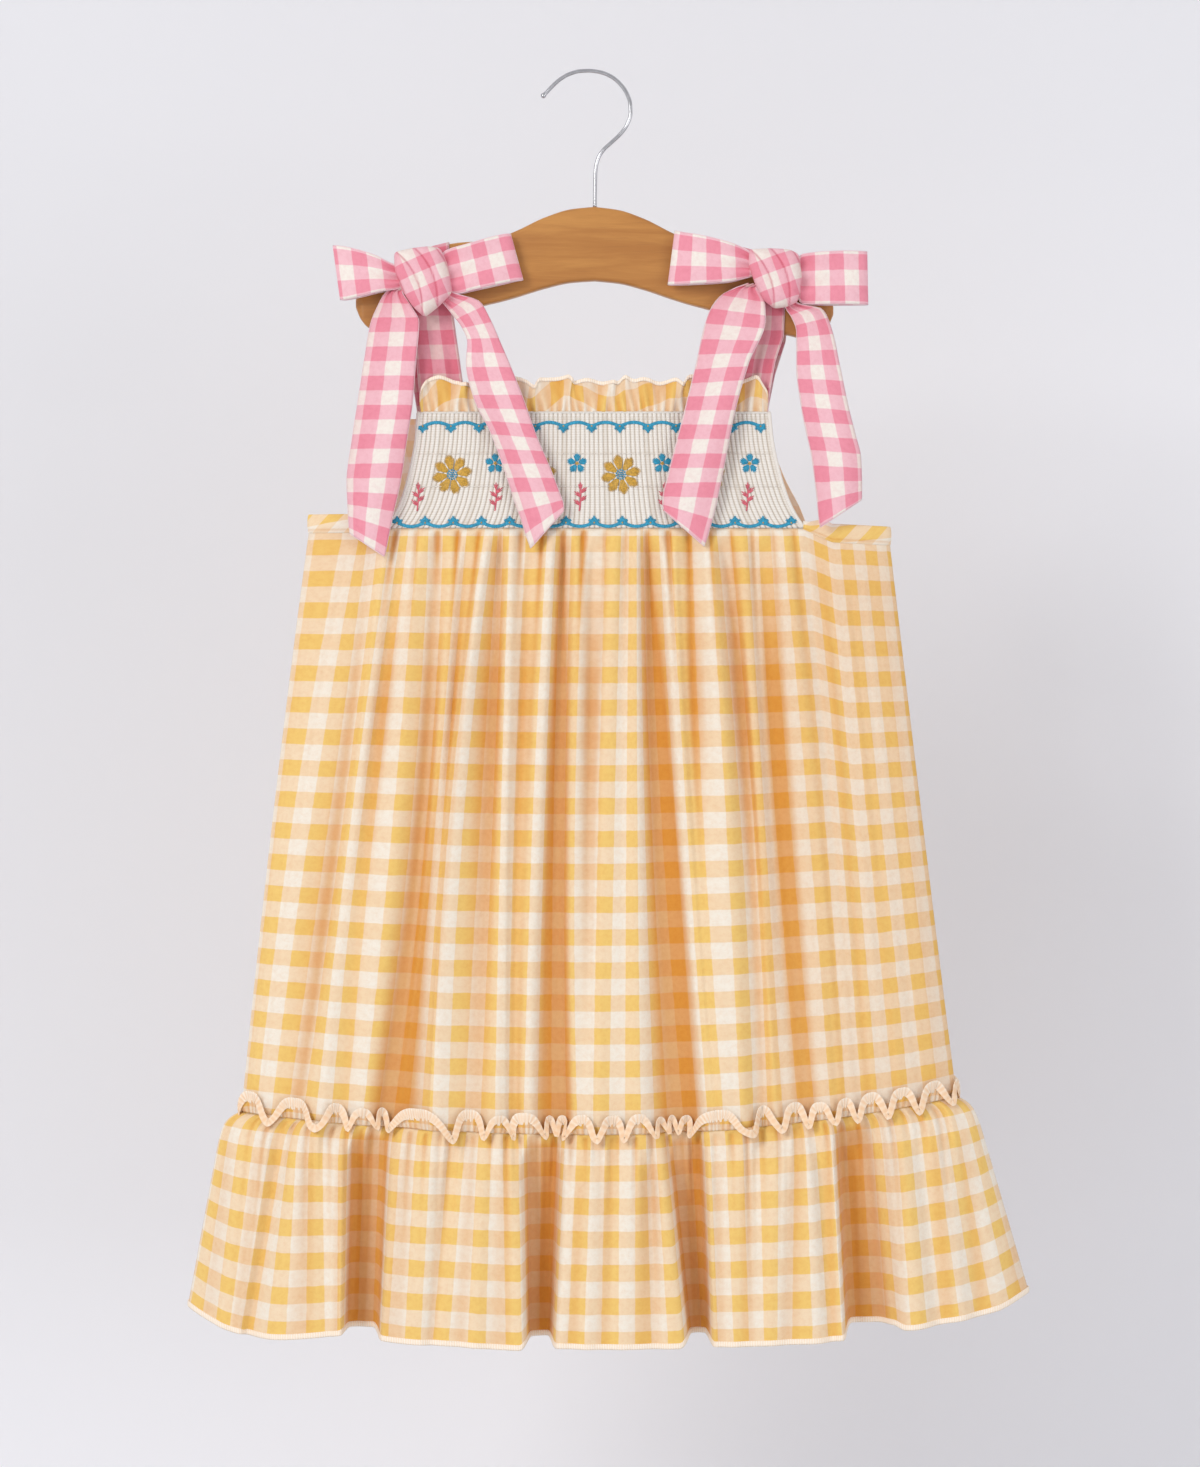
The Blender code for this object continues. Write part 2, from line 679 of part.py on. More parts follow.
def add_front_bodice():
    outer = []
    inner = []
    columns = RIB_COUNT * 2 + 1
    for z, left, right in FRONT_BODICE_ROWS:
        line_out = []
        line_in = []
        for k in range(columns):
            x = left + (right - left) * k / (columns - 1)
            y = body_y(x, z)
            raised = RIB_HEIGHT if k % 2 else 0.0
            line_out.append((x, -(y + raised), z))
            line_in.append((x, -(y - BODICE_WALL), z))
        outer.append(line_out)
        inner.append(line_in)
    add_shell("front_bodice", outer, inner, "white")


def add_back_bodice():
    columns = 25
    grid = []
    for z, left, right in BACK_BODICE_ROWS:
        line = []
        for k in range(columns):
            x = right + (left - right) * k / (columns - 1)
            gather = 0.7 if k % 2 and 0 < k < columns - 1 else 0.0
            line.append((x, body_y(x, z) + gather, z))
        grid.append(line)
    outer = np.array(grid)
    inner = outer.copy()
    for i in range(outer.shape[0]):
        for j in range(outer.shape[1]):
            inner[i, j, 1] = body_y(outer[i, j, 0], outer[i, j, 2]) - BODICE_WALL
    add_shell("back_bodice", outer, inner, "yellow")


add_front_bodice()
add_back_bodice()


def add_neck_ruffle():
    """The gathered edge over the smocking, open in 13 waves at its top."""
    waves = 13
    columns = waves * 4 + 1
    left = -106.0
    right = 112.0
    rows = ((-195.0, 1.0), (-202.0, 0.75), (-209.0, 0.3), (-215.0, 0.0))
    outer = []
    inner = []
    for z_row, opening in rows:
        line_out = []
        line_in = []
        for k in range(columns):
            x = left + (right - left) * k / (columns - 1)
            wave = (1.0 - math.cos(2 * math.pi * k / 4 + 0.5 * math.sin(k * 0.37))) / 2
            near_end = min(1.0, min(x - left, right - x) / 9.0)
            drop = (1.0 - math.sqrt(near_end * (2 - near_end))) * 9.0 * opening
            z = z_row - drop + 1.5 * opening * math.sin(k * 0.9)
            y = body_y(x, -215.0) + 3.6 * wave * opening
            line_out.append((x, -y, z))
            line_in.append((x, -(y - RUFFLE_WALL), z))
        outer.append(line_out)
        inner.append(line_in)
    add_shell("neck_ruffle", outer, inner, "yellow")


add_neck_ruffle()


def add_underarm_band(name, front_part, back_part, front_end, back_end):
    """Binding over the skirt's top edge from the front bodice round the side to the back one."""
    line = [front_end] + front_part + back_part + [back_end]
    columns = []
    for x, side in line:
        y = SEAM_Y if x in (SIDE_LEFT, SIDE_RIGHT) else body_y(x, SKIRT_TOP_Z)
        columns.append((x, side * y, skirt_top_z(x) + GAP))
    columns = np.array(columns)
    merged = [columns[0]]
    for point in columns[1:]:
        if np.linalg.norm(point - merged[-1]) > 0.5:
            merged.append(point)
    base = np.array(merged)
    outer = []
    for rise in (11.0, 5.5, 0.0):
        row = base.copy()
        row[:, 2] += rise
        outer.append(row)
    outer = np.array(outer)
    inner = outer - SKIRT_WALL * grid_normals(outer)
    inner[:, :, 2] = outer[:, :, 2]
    add_shell(name, outer, inner, "yellow")


left_front = [(x, -1) for x in (-134.6, -147.7, -157.0, -166.0, -173.5)]
left_back = [(x, 1) for x in (-174.0, -168.0, -159.0, -147.7, -136.0)]
right_front = [(x, -1) for x in (141.6, 151.0, 162.0, 173.0, 181.5, 187.0)]
right_back = [(x, 1) for x in (187.0, 181.0, 170.0, 158.0, 143.0)]
# both bands run the same way round the body: back to front on the left, front to back on the right
add_underarm_band("underarm_band_left", left_back[::-1] + [(SIDE_LEFT, 1)], left_front[::-1],
                  (-128.4, 1), (-128.4, -1))
add_underarm_band("underarm_band_right", right_front + [(SIDE_RIGHT, 1)], right_back,
                  (135.4, -1), (139.4, 1))


def hanger_edge(x, column):
    """z of the hanger's top (1) or lower (2) edge at x."""
    table = np.array(HANGER_OUTLINE)
    reach = abs(x - HANGER_CENTRE_X)
    return float(np.interp(reach, table[:, 0], table[:, column])) + HANGER_TILT * (x - HANGER_CENTRE_X)


def add_hanger_body():
    reaches = [row[0] for row in HANGER_OUTLINE]
    stations = {round(HANGER_CENTRE_X + sign * r, 3) for r in reaches for sign in (-1, 1)}
    stations |= set(STRAP_LEFT_X) | set(STRAP_RIGHT_X)
    stations = sorted(stations)
    points = []
    for x in stations:
        top = hanger_edge(x, 1)
        low = hanger_edge(x, 2)
        half = HANGER_HALF_THICKNESS
        reach = abs(x - HANGER_CENTRE_X)
        if reach > 146:
            half = float(np.interp(reach, (146, 147.5, 150.6), (6.0, 5.2, 3.2)))
        cut = min(2.4, (top - low) / 4, half / 2)
        points += [(x, -half, low + cut), (x, -half, top - cut), (x, -half + cut, top), (x, half - cut, top),
                   (x, half, top - cut), (x, half, low + cut), (x, half - cut, low), (x, -half + cut, low)]
    faces = []
    for i in range(len(stations) - 1):
        for j in range(8):
            a = i * 8 + j
            b = i * 8 + (j + 1) % 8
            faces.append((a, b, b + 8, a + 8))
    last = (len(stations) - 1) * 8
    faces.append(tuple(range(7, -1, -1)))
    faces.append(tuple(last + k for k in range(8)))
    add_object("hanger_body", points, faces, "wood")


add_hanger_body()


def add_hook():
    path = np.array([(x, 0.0, z) for x, z in HOOK_PATH])
    path[-1, 2] = hanger_edge(path[-1, 0], 1) + GAP
    tangents = np.gradient(path, axis=0)
    tangents /= np.linalg.norm(tangents, axis=1, keepdims=True)
    tangents[-1] = (0, 0, -1)
    sides = 8
    points = []
    for centre, tangent in zip(path, tangents):
        across = np.array((0.0, 1.0, 0.0))
        up = np.cross(tangent, across)
        for k in range(sides):
            angle = 2 * math.pi * k / sides
            points.append(centre + HOOK_RADIUS * (math.cos(angle) * across + math.sin(angle) * up))
    count = len(path)
    faces = []
    for i in range(count - 1):
        for j in range(sides):
            a = i * sides + j
            b = i * sides + (j + 1) % sides
            faces.append((a, b, b + sides, a + sides))
    tip = len(points)
    points.append(path[0] - tangents[0] * 0.8)
    for j in range(sides):
        faces.append((tip, (j + 1) % sides, j))
    last = (count - 1) * sides
    faces.append(tuple(last + k for k in range(sides)))
    add_object("hanger_hook", points, faces, "chrome")


add_hook()


def add_tail(name, rows):
    """A hanging ribbon end; across it the middle stands a little forward."""
    outer = []
    for x_a, z_a, x_b, z_b, y_a, y_m, y_b in rows:
        line = []
        for share in (0.0, 0.25, 0.5, 0.75, 1.0):
            y = three_heights(y_a, y_m, y_b, share)
            line.append((x_a + (x_b - x_a) * share, y, z_a + (z_b - z_a) * share))
        outer.append(line)
    outer = np.array(outer)
    normals = grid_normals(outer)
    add_shell(name, outer, outer - RIBBON_WALL * normals, "pink")


for tail_name, tail_rows in TAILS.items():
    add_tail(tail_name, tail_rows)


def add_loop(name, rows):
    """A bow's loop: the ribbon runs out, turns at the end and comes back behind."""
    outer = []
    pinch = (1.0, 0.6, 0.2, 0.0, 0.0, 0.0, 0.0, 0.2, 0.3)
    for (x_a, z_a, x_b, z_b, y), fold in zip(rows, pinch):
        line = []
        for share, push in ((0.0, 0.0), (0.33, 0.9), (0.5, -0.5), (0.67, 0.9), (1.0, 0.0)):
            front = -1 if y < -12.5 else 1
            line.append((x_a + (x_b - x_a) * share, y + front * push * fold, z_a + (z_b - z_a) * share))
        outer.append(line)
    outer = np.array(outer)
    normals = grid_normals(outer)
    middle = outer[:, 2].mean(axis=0)
    if np.sum(normals * (outer - middle)) < 0:
        normals = -normals
    add_shell(name, outer, outer - RIBBON_WALL * normals, "pink")


for loop_name, loop_rows in LOOPS.items():
    add_loop(loop_name, loop_rows)


def add_knot(name, outline):
    outline = np.array(outline)
    middle = outline.mean(axis=0)
    count = len(outline)
    points = []
    for ring, (size, y) in enumerate(KNOT_RINGS):
        for x, z in outline:
            px = middle[0] + (x - middle[0]) * size
            pz = middle[1] + (z - middle[1]) * size
            groove = math.cos((px - middle[0]) * 0.30 + (pz - middle[1]) * 0.20)
            points.append((px, y + (0.9 * groove if ring > 2 else 0.0), pz))
    faces = []
    for i in range(len(KNOT_RINGS) - 1):
        for j in range(count):
            a = i * count + j
            b = i * count + (j + 1) % count
            faces.append((a, b, b + count))
            faces.append((a, b + count, a + count))
    back = len(points)
    points.append((middle[0], KNOT_RINGS[0][1], middle[1]))
    points.append((middle[0], KNOT_RINGS[-1][1] - 0.5, middle[1]))
    last = (len(KNOT_RINGS) - 1) * count
    for j in range(count):
        faces.append((back, (j + 1) % count, j))
        faces.append((back + 1, last + j, last + (j + 1) % count))
    add_object(name, points, faces, "pink")


for knot_name, knot_outline in KNOTS.items():
    add_knot(knot_name, knot_outline)


def add_back_strap(name, at_hanger, at_bodice):
    """Up from inside the back bodice, over the hanger and a little way down its front."""
    half = HANGER_HALF_THICKNESS
    outer = []
    inner = []
    for x_hanger, x_bodice in zip(at_hanger, at_bodice):
        top = hanger_edge(x_hanger, 1)
        low = hanger_edge(x_hanger, 2)
        y_end = body_y(x_bodice, -222.0) - BODICE_WALL - 0.35
        near = half + GAP
        far = near + RIBBON_WALL
        path = (
            (0.0, -near, -far, top - 15.0, top - 15.0),
            (0.0, -near, -far, top - 2.5, top - 2.0),
            (0.0, -near + 2.5, -far + 3.2, top + 0.33, top + 1.55),
            (0.0, near - 2.5, far - 3.2, top + 0.33, top + 1.55),
            (0.0, near, far, top - 2.5, top - 2.0),
            (0.0, near, far, (top + low) / 2, (top + low) / 2),
            (0.1, near, far, low - 3.0, low - 3.0),
            (0.6, (near + y_end - RIBBON_WALL) / 2, (far + y_end) / 2, -190.0, -190.0),
            (0.95, y_end - RIBBON_WALL, y_end, -214.0, -214.0),
            (1.0, y_end - RIBBON_WALL, y_end, -228.0, -228.0),
        )
        column_in = []
        column_out = []
        for share, y_in, y_out, z_in, z_out in path:
            x = x_hanger + (x_bodice - x_hanger) * share
            column_in.append((x, y_in, z_in))
            column_out.append((x, y_out, z_out))
        inner.append(column_in)
        outer.append(column_out)
    add_shell(name, np.transpose(outer, (1, 0, 2)), np.transpose(inner, (1, 0, 2)), "pink")


add_back_strap("strap_back_left", STRAP_LEFT_X, (-108.0, -98.0, -88.0, -78.0))
add_back_strap("strap_back_right", STRAP_RIGHT_X, (83.5, 93.0, 102.5, 112.0))


def add_front_strap(name, at_hanger, at_bodice, top_end):
    """Up from inside the smocked panel to the knot, in front of the hanger."""
    outer = []
    inner = []
    for x_hanger, x_bodice in zip(at_hanger, at_bodice):
        low = hanger_edge(x_hanger, 2)
        y_end = body_y(x_bodice, -222.0) - BODICE_WALL - 0.35
        near = HANGER_HALF_THICKNESS + GAP
        path = (
            (0.0, near, top_end),
            (0.1, near, low - 2.0),
            (0.55, (near + y_end - RIBBON_WALL) / 2, -183.0),
            (0.85, y_end - RIBBON_WALL, -203.0),
            (0.93, y_end - RIBBON_WALL, -215.0),
            (1.0, y_end - RIBBON_WALL, -228.0),
        )
        column_in = []
        column_out = []
        for share, y, z in path:
            x = x_hanger + (x_bodice - x_hanger) * share
            column_in.append((x, -y, z))
            column_out.append((x, -y - RIBBON_WALL, z))
        inner.append(column_in)
        outer.append(column_out)
    add_shell(name, np.transpose(outer, (1, 0, 2)), np.transpose(inner, (1, 0, 2)), "pink")


add_front_strap("strap_front_left", (-112.0, -103.5, -95.0, -86.5), (-105.6, -96.2, -86.8, -77.5), -140.0)
add_front_strap("strap_front_right", (101.0, 108.5, 116.0, 123.5), (93.0, 99.2, 105.4, 111.6), -140.0)
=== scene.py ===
import math

import bpy
import numpy as np
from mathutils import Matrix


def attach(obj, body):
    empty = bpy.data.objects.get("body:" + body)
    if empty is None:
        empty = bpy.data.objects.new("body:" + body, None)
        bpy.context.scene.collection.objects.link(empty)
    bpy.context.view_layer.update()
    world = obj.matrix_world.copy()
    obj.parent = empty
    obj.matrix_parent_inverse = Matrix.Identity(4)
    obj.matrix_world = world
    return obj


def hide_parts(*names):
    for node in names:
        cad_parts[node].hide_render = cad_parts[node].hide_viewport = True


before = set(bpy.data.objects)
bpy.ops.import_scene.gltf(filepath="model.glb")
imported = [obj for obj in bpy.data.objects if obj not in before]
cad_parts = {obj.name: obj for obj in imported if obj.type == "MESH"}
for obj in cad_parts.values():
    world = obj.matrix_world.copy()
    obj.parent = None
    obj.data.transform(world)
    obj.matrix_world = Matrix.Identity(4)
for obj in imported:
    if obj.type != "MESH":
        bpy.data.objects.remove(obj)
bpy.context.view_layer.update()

MM = 0.001
CHECK_PERIOD = 20.6
RIBBON_PERIOD = 18.6
THREAD_PERIOD = 10.0
SKIRT_WALL = 1.0
RIBBON_WALL = 0.9
BODICE_WALL = 1.2
BINDING_WALL = 1.7
EDGING_WALL = 0.6
FRILL_WALL = 0.8
RIBBON_WIDTH = 31.0
RIBBON_EDGE_RADIUS = 0.42
RIBBON_COLUMNS = 25
RIBBON_ROWS = 110
# painted shade spread evenly over each strap, as the straps lie behind other parts
STRAP_PAINTED_SHADE = 0.62
STRAP_GAP = 0.35
STRAP_CLEARANCE = 0.3
RIB_HEIGHT = 1.0
RIB_COUNT = 78
SIDE_LEFT = -177.0
SIDE_RIGHT = 190.0
BODICE_LEFT = -128.0
BODICE_RIGHT = 135.0
SKIRT_TOP_Z = -288.2
SMOCKING_TOP_Z = -215.3
BACK_TOP_Z = -218.0
STRAP_SEAM_Z = -222.0
STRAP_END_Z = -228.0
FLOUNCE_SEAM_Z = -668.0
ELASTIC_PITCH = 11.7
HOOK_RADIUS = 1.25
HANGER_CENTRE_X = 3.5
HANGER_HALF_THICKNESS = 6.0
HANGER_CORNER = 2.6
HANGER_TILT = -0.0145
UP = np.array([0.0, 0.0, 1.0])
FRONT, BACK = -1, 1
random = np.random.default_rng(7)

# x_top, x_middle, x_bottom, then the fold's depth at four heights (plus is towards the viewer)
SKIRT_FOLDS = (
    (-177, -200, -219.5, 0, 0, 0, 0), (-147.7, -180.6, -204.4, 0, 1, 1, 1),
    (-134.6, -157.5, -183.1, 0, -1.5, -3, -1.5), (-121.4, -147.5, -168.1, 1, 1, 1.5, 3),
    (-114.8, -138.1, -155, -2, -4, -1, -1), (-108.3, -124.4, -143.1, 1.5, 2.5, 4, 0.5),
    (-95.1, -105, -126.9, -2.5, -4, -5.5, -8), (-82, -96.9, -114.4, 1.5, 1, -2, -5),
    (-75.4, -91.2, -103.8, -1.5, -2.5, 2, 0.5), (-62.2, -86.2, -95, 3, 5, 6.5, 4.5),
    (-55.7, -64.4, -73.8, -4, -5.5, -3, -1.5), (-49.1, -54.4, -57.5, 2.5, 2.5, 3, 2.5),
    (-36, -44.4, -48.1, -2.5, -3, -1.5, -2), (-22.8, -31.9, -37.5, 2.5, 3, 2, 0.5),
    (-16.2, -20, -20, -3.5, -6.5, -8, -9), (-3.1, -9.4, -7.5, 2, 2.5, 2, 0.5),
    (3.5, 0, -1.2, -3, -3.5, -1, 2), (16.7, 10.6, 6.2, 2.5, 2.5, 2.5, 3.5),
    (23.2, 20.6, 18.8, 0, 1, 1.5, 1), (29.8, 30, 31.9, 2.5, 3, 3, 3.5),
    (36.4, 45, 58.8, -4.5, -7.5, -8.5, -10), (49.5, 60.6, 73.8, 2, 2, 2, 2),
    (62.7, 70, 83.1, -3.5, -3.5, 2, 3.5), (75.8, 86.9, 95.6, 4, 5.5, 6.5, 4.5),
    (82.4, 99.4, 106.9, -4.5, -5.5, -2.5, -1.5), (95.6, 107.5, 117.5, 1.5, 1, 0.5, 0),
    (108.7, 120, 135, -3, -4, -3, -2), (121.8, 138.1, 151.9, 1.5, 1.5, 1, 1),
    (135, 151.9, 165, -1.5, -0.5, 0, 0), (161.3, 178.8, 195.6, 0.5, 1, 1, 1),
    (190, 210.5, 232, 0, 0, 0, 0),
)
SKIRT_DEPTH_HEIGHTS = (0, 0.3, 0.65, 1)
BACK_FOLDS = (
    (-177, -200, -219.5, 0, 0, 0, 0), (-147.7, -172, -192, 0.5, 1.5, 2, 2.5),
    (-120, -146, -167, -1.5, -3, -3.5, -4), (-98, -120, -140, 1.5, 2.5, 4, 5),
    (-76, -92, -107, -2, -4, -5, -6.5), (-54, -66, -78, 1.5, 3, 4, 4),
    (-32, -38, -46, -1.5, -3, -4, -5), (-10, -12, -14, 2, 3, 4.5, 5.5),
    (12, 15, 18, -2, -4, -6, -7), (34, 42, 50, 1.5, 3, 4, 4.5), (56, 68, 80, -1.5, -3, -4.5, -6),
    (78, 94, 110, 2, 3, 4, 5), (100, 120, 138, -1.5, -3, -4, -4), (128, 148, 166, 1, 2, 3, 3),
    (158, 178, 198, -0.5, -1, -1.5, -1.5), (190, 210.5, 232, 0, 0, 0, 0),
)
# x at each of the heights, the side that the shadow lies on, and how dark it is
CREASE_HEIGHTS = (0.0, 0.43, 1.0)
SKIRT_CREASES = (
    (-17.6, -26.1, -32.9, 1, 0.42), (-67.5, -82.9, -102, -1, 0.38), (35.3, 52.3, 74, -1, 0.42),
    (81.8, 101.7, 119, 1, 0.34),
)
# x_top, x_hem, depth_top, depth_hem
FLOUNCE_FOLDS = (
    (-230.6, -253.1, 0, 0), (-220.6, -236.2, 4, 6), (-210, -226.2, 1, 3), (-200.6, -220, 4, 6),
    (-190.6, -213.1, -4, -2), (-181.9, -188.8, 6, 10), (-165.6, -163.1, -1, 2),
    (-155, -155.6, 4, 8), (-145.6, -149.4, -10, -15), (-131.2, -135.6, -12, -19),
    (-120, -127.5, 3, 8), (-99.4, -105.6, 7, 13), (-80.6, -91.9, -1, 7), (-70, -76.9, 5, 12),
    (-60.6, -63.8, 3, 8), (-51.9, -48.8, 4, 11), (-43.8, -41.2, 1, 8), (-36.9, -35.6, -9, -13),
    (-23.1, -26.9, -13, -19), (-13.1, -19.4, 0, 7), (-2.5, -7.5, 4, 12), (8.1, 5, 6, 14),
    (16.9, 16.2, 3, 9), (30, 30, 6, 13), (36.9, 41.2, -2, 6), (42.5, 51.2, 1, 10),
    (46.9, 58.8, -2, 7), (52.5, 65, -11, -15), (67.5, 72.5, -13, -19), (74.4, 79.4, 2, 8),
    (83.1, 88.1, 1, 8), (94.4, 98.1, 5, 13), (104.4, 107.5, 0, 9), (118.8, 117.5, 7, 14),
    (128.8, 126.9, 4, 10), (135.6, 140.6, 4, 11), (142.5, 150.6, -1, 6), (150.6, 157.5, 0, 8),
    (158.1, 164.4, -12, -15), (170.6, 178.1, -10, -14), (180, 190.6, -2, 1), (194.4, 203.8, 4, 10),
    (205, 218.1, -1, 3), (213.8, 230, 4, 8), (222.5, 241.9, 1, 3), (231.9, 258.1, 3, 5),
    (241.9, 277.5, 0, 0),
)
BACK_FLOUNCE_FOLDS = (
    (-230.6, -253.1, 0, 0), (-214, -236, 2.1, 3.6), (-196, -214, -1.4, -1.8), (-176, -190, 3.5, 6),
    (-156, -170, -2.1, -3.6), (-134, -144, 4.2, 7.2), (-112, -122, -2.8, -5.4),
    (-92, -98, 3.5, 6.6), (-74, -80, -1.4, -2.4), (-54, -58, 4.2, 7.8), (-34, -36, -2.8, -5.4),
    (-14, -14, 4.2, 7.2), (6, 8, -1.4, -2.4), (26, 30, 4.2, 7.8), (46, 52, -2.8, -6),
    (66, 74, 3.5, 6.6), (88, 98, -2.1, -3.6), (110, 122, 4.2, 7.2), (132, 146, -2.8, -5.4),
    (154, 170, 3.5, 6.6), (176, 196, -1.4, -2.4), (198, 222, 3.5, 5.4), (220, 250, -0.7, 0),
    (241.9, 277.5, 0, 0),
)
# x, z along the front hem and the back hem
HEM = (
    (-253.8, -777.5), (-236.9, -786.2), (-222.5, -791.9), (-197.5, -795), (-165, -793.1),
    (-155.6, -791.9), (-150.6, -789.4), (-135.6, -789.4), (-130.6, -794.4), (-86.9, -797.5),
    (-43.1, -800), (-36.2, -794.4), (-25.6, -794.4), (-20.6, -798.8), (19.4, -799.4),
    (56.9, -798.8), (63.8, -792.5), (72.5, -792.5), (78.1, -798.1), (119.4, -796.9),
    (158.1, -794.4), (165, -786.9), (190, -786.2), (197.5, -788.8), (221.9, -785.6),
    (254.4, -779.4), (278.1, -768.8),
)
BACK_HEM = (
    (-253.1, -777.5), (-200, -793), (-100, -797), (0, -799), (120, -797), (210, -788),
    (278.1, -768.8),
)
# widths of the arches in the frilled heading, from the left side to the right side
WAVE_WIDTHS_LEFT = (37, 50, 32, 20, 17, 65, 38, 20, 35, 15, 18, 28)
WAVE_WIDTHS_RIGHT = (27, 25, 15, 12, 18, 57, 35, 27, 24, 21, 30, 28, 35, 15)
# least and most height and fall of an arch, and half width of its thick edge
ARCH_HEIGHTS = (7.0, 9.6)
ARCH_FALLS = (-1.5, 3.6)
BAND_HALF_WIDTHS = (2.4, 3.5)
ARCH_POINTS = 34
# across the heading's thick edge: share of its half width, and how dark it is
BAND_PROFILE = (1.0, 0.86, 0.5, 0.0, -0.5, -0.86, -1.0)
BAND_SHADE = (0.0, 0.05, 0.35, 0.45, 0.35, 0.10, 0.25)
# half the body's depth at each z
BODY_DEPTH_Z = (-800, -668, -420, -290, -215)
BODY_DEPTH = (38, 31, 20, 16, 13.5)
# z, x of the left edge, x of the right edge
FRONT_BODICE_ROWS = (
    (-215.3, -107, 113), (-232, -108.2, 114.6), (-250, -111.5, 118.3), (-270, -117, 124.5),
    (-281, -122.6, 130), (-288.2, -128, 135),
)
BACK_BODICE_ROWS = (
    (-218, -113.5, 115), (-235, -117, 117), (-255, -120.8, 123.8), (-274, -124.5, 133.5),
    (-288.2, -128, 139),
)
CABLE_ROWS = (-219, -241.5, -262, -285)
# x, z along the middle of the hook's wire
HOOK_PATH = (
    (-30, -15.62), (-27.2, -12.81), (-23.1, -8.44), (-18.1, -4.06), (-11.9, -0.62), (-5.6, 1),
    (0, 1.25), (6.9, 0.37), (13.8, -2.37), (19.4, -6.88), (23.8, -13.12), (26, -20), (26.2, -25.62),
    (24.1, -32.5), (19.7, -38.75), (14.1, -44.06), (9.1, -48.75), (5.8, -54.06), (4.2, -60.62),
    (3.8, -71.25), (3.6, -84.69),
)
# distance from the middle, z of the top edge, z of the lower edge
HANGER_OUTLINE = (
    (0, -85, -131.5), (15, -86.8, -132.8), (31, -92, -136.6), (50, -101.2, -142.7),
    (60, -105.2, -145.6), (68.8, -107.5, -147.8), (78, -108.2, -150.4), (85, -108.8, -152.5),
    (92, -109.9, -154.6), (102, -112.4, -157.8), (112, -116, -161), (122, -120.6, -164),
    (134, -128, -166), (142, -134.5, -163.5), (147.5, -140, -158), (150.6, -145, -151),
)
# x of four points across each back strap where it lies on the wood
STRAP_LEFT_X = (-118.5, -108.5, -98.5, -88.5)
STRAP_RIGHT_X = (95.5, 105.5, 115.5, 125.5)
# each row: one edge (x, z), other edge (x, z), then depth at edge, middle and other edge
TAILS = {
    "bow_tail_outer_left": (
        (-126.9, -139.4, -117.7, -139.4, -13, -14, -15),
        (-133.1, -149.4, -111.2, -150, -14, -16.5, -17),
        (-136.9, -158.8, -106.9, -158.8, -15, -18, -18),
        (-141.2, -183.8, -108.8, -183.8, -17.5, -20.5, -19.5),
        (-145, -208.8, -110.6, -208.8, -19, -22, -20.5),
        (-148.8, -233.8, -114.4, -233.8, -20, -23, -21.5),
        (-151.9, -258.8, -118.1, -258.8, -20.5, -23, -21.5),
        (-151.2, -277.5, -123.8, -283.8, -20, -22.5, -21),
        (-150.3, -291.6, -128.1, -306.2, -20, -22.5, -21.5),
    ),
    "bow_tail_inner_left": (
        (-91.4, -146.8, -85.2, -140.6, -14, -15, -15),
        (-85.6, -154.4, -69.4, -145.6, -15, -18.5, -17),
        (-80, -161.9, -61.9, -157.5, -18, -20.5, -18.5),
        (-76.2, -171.9, -55.6, -171.9, -20, -22, -20), (-76.9, -185, -50, -185, -21.5, -23.5, -22),
        (-72.5, -205.6, -41.9, -205.6, -23.5, -25.5, -24.5),
        (-61.2, -229.4, -32.5, -231.9, -23, -25, -24.5),
        (-53.8, -249.4, -25, -249.4, -22.5, -24.5, -24),
        (-47.5, -268.8, -18.1, -267.5, -22.5, -24.5, -24),
        (-41.9, -285, -16.2, -273.1, -23, -25, -24.5),
        (-36.9, -301.2, -15.6, -277.5, -23.5, -25, -24.5),
    ),
    "bow_tail_inner_right": (
        (93.1, -136.9, 105, -137.2, -13, -14, -15),
        (83.1, -141.9, 110.2, -146.5, -14, -16.5, -16.5),
        (75.6, -152.5, 110.6, -156.9, -16, -18.5, -18), (66.9, -186.9, 100, -185, -20, -22.5, -21),
        (59.4, -217.5, 90.9, -217.5, -23.5, -25.5, -24),
        (51.6, -247.5, 85, -247.5, -23, -25, -23.5),
        (46.2, -271.2, 79.4, -274.4, -22.5, -24.5, -23),
        (46.9, -277.5, 72.5, -300, -22.5, -24.5, -23.5),
    ),
    "bow_tail_outer_right": (
        (123.9, -150.1, 130.9, -147, -14, -15, -14), (127.5, -156.2, 145.6, -150, -15, -17.5, -15),
        (130.3, -165, 151.9, -161.9, -17, -19.5, -16.5),
        (130.3, -186.9, 157.5, -186.9, -19, -21, -18.5),
        (133.1, -211.2, 163.1, -213.8, -20, -22, -19.5),
        (136.2, -227.5, 166.9, -228.8, -20.5, -22.5, -20),
        (139.4, -241.9, 170.6, -244.4, -20.5, -22.5, -20),
        (142.5, -265, 171.2, -261.9, -20, -22, -19.5),
        (144.7, -287.9, 171.2, -270.6, -20, -22, -19.5),
    ),
}
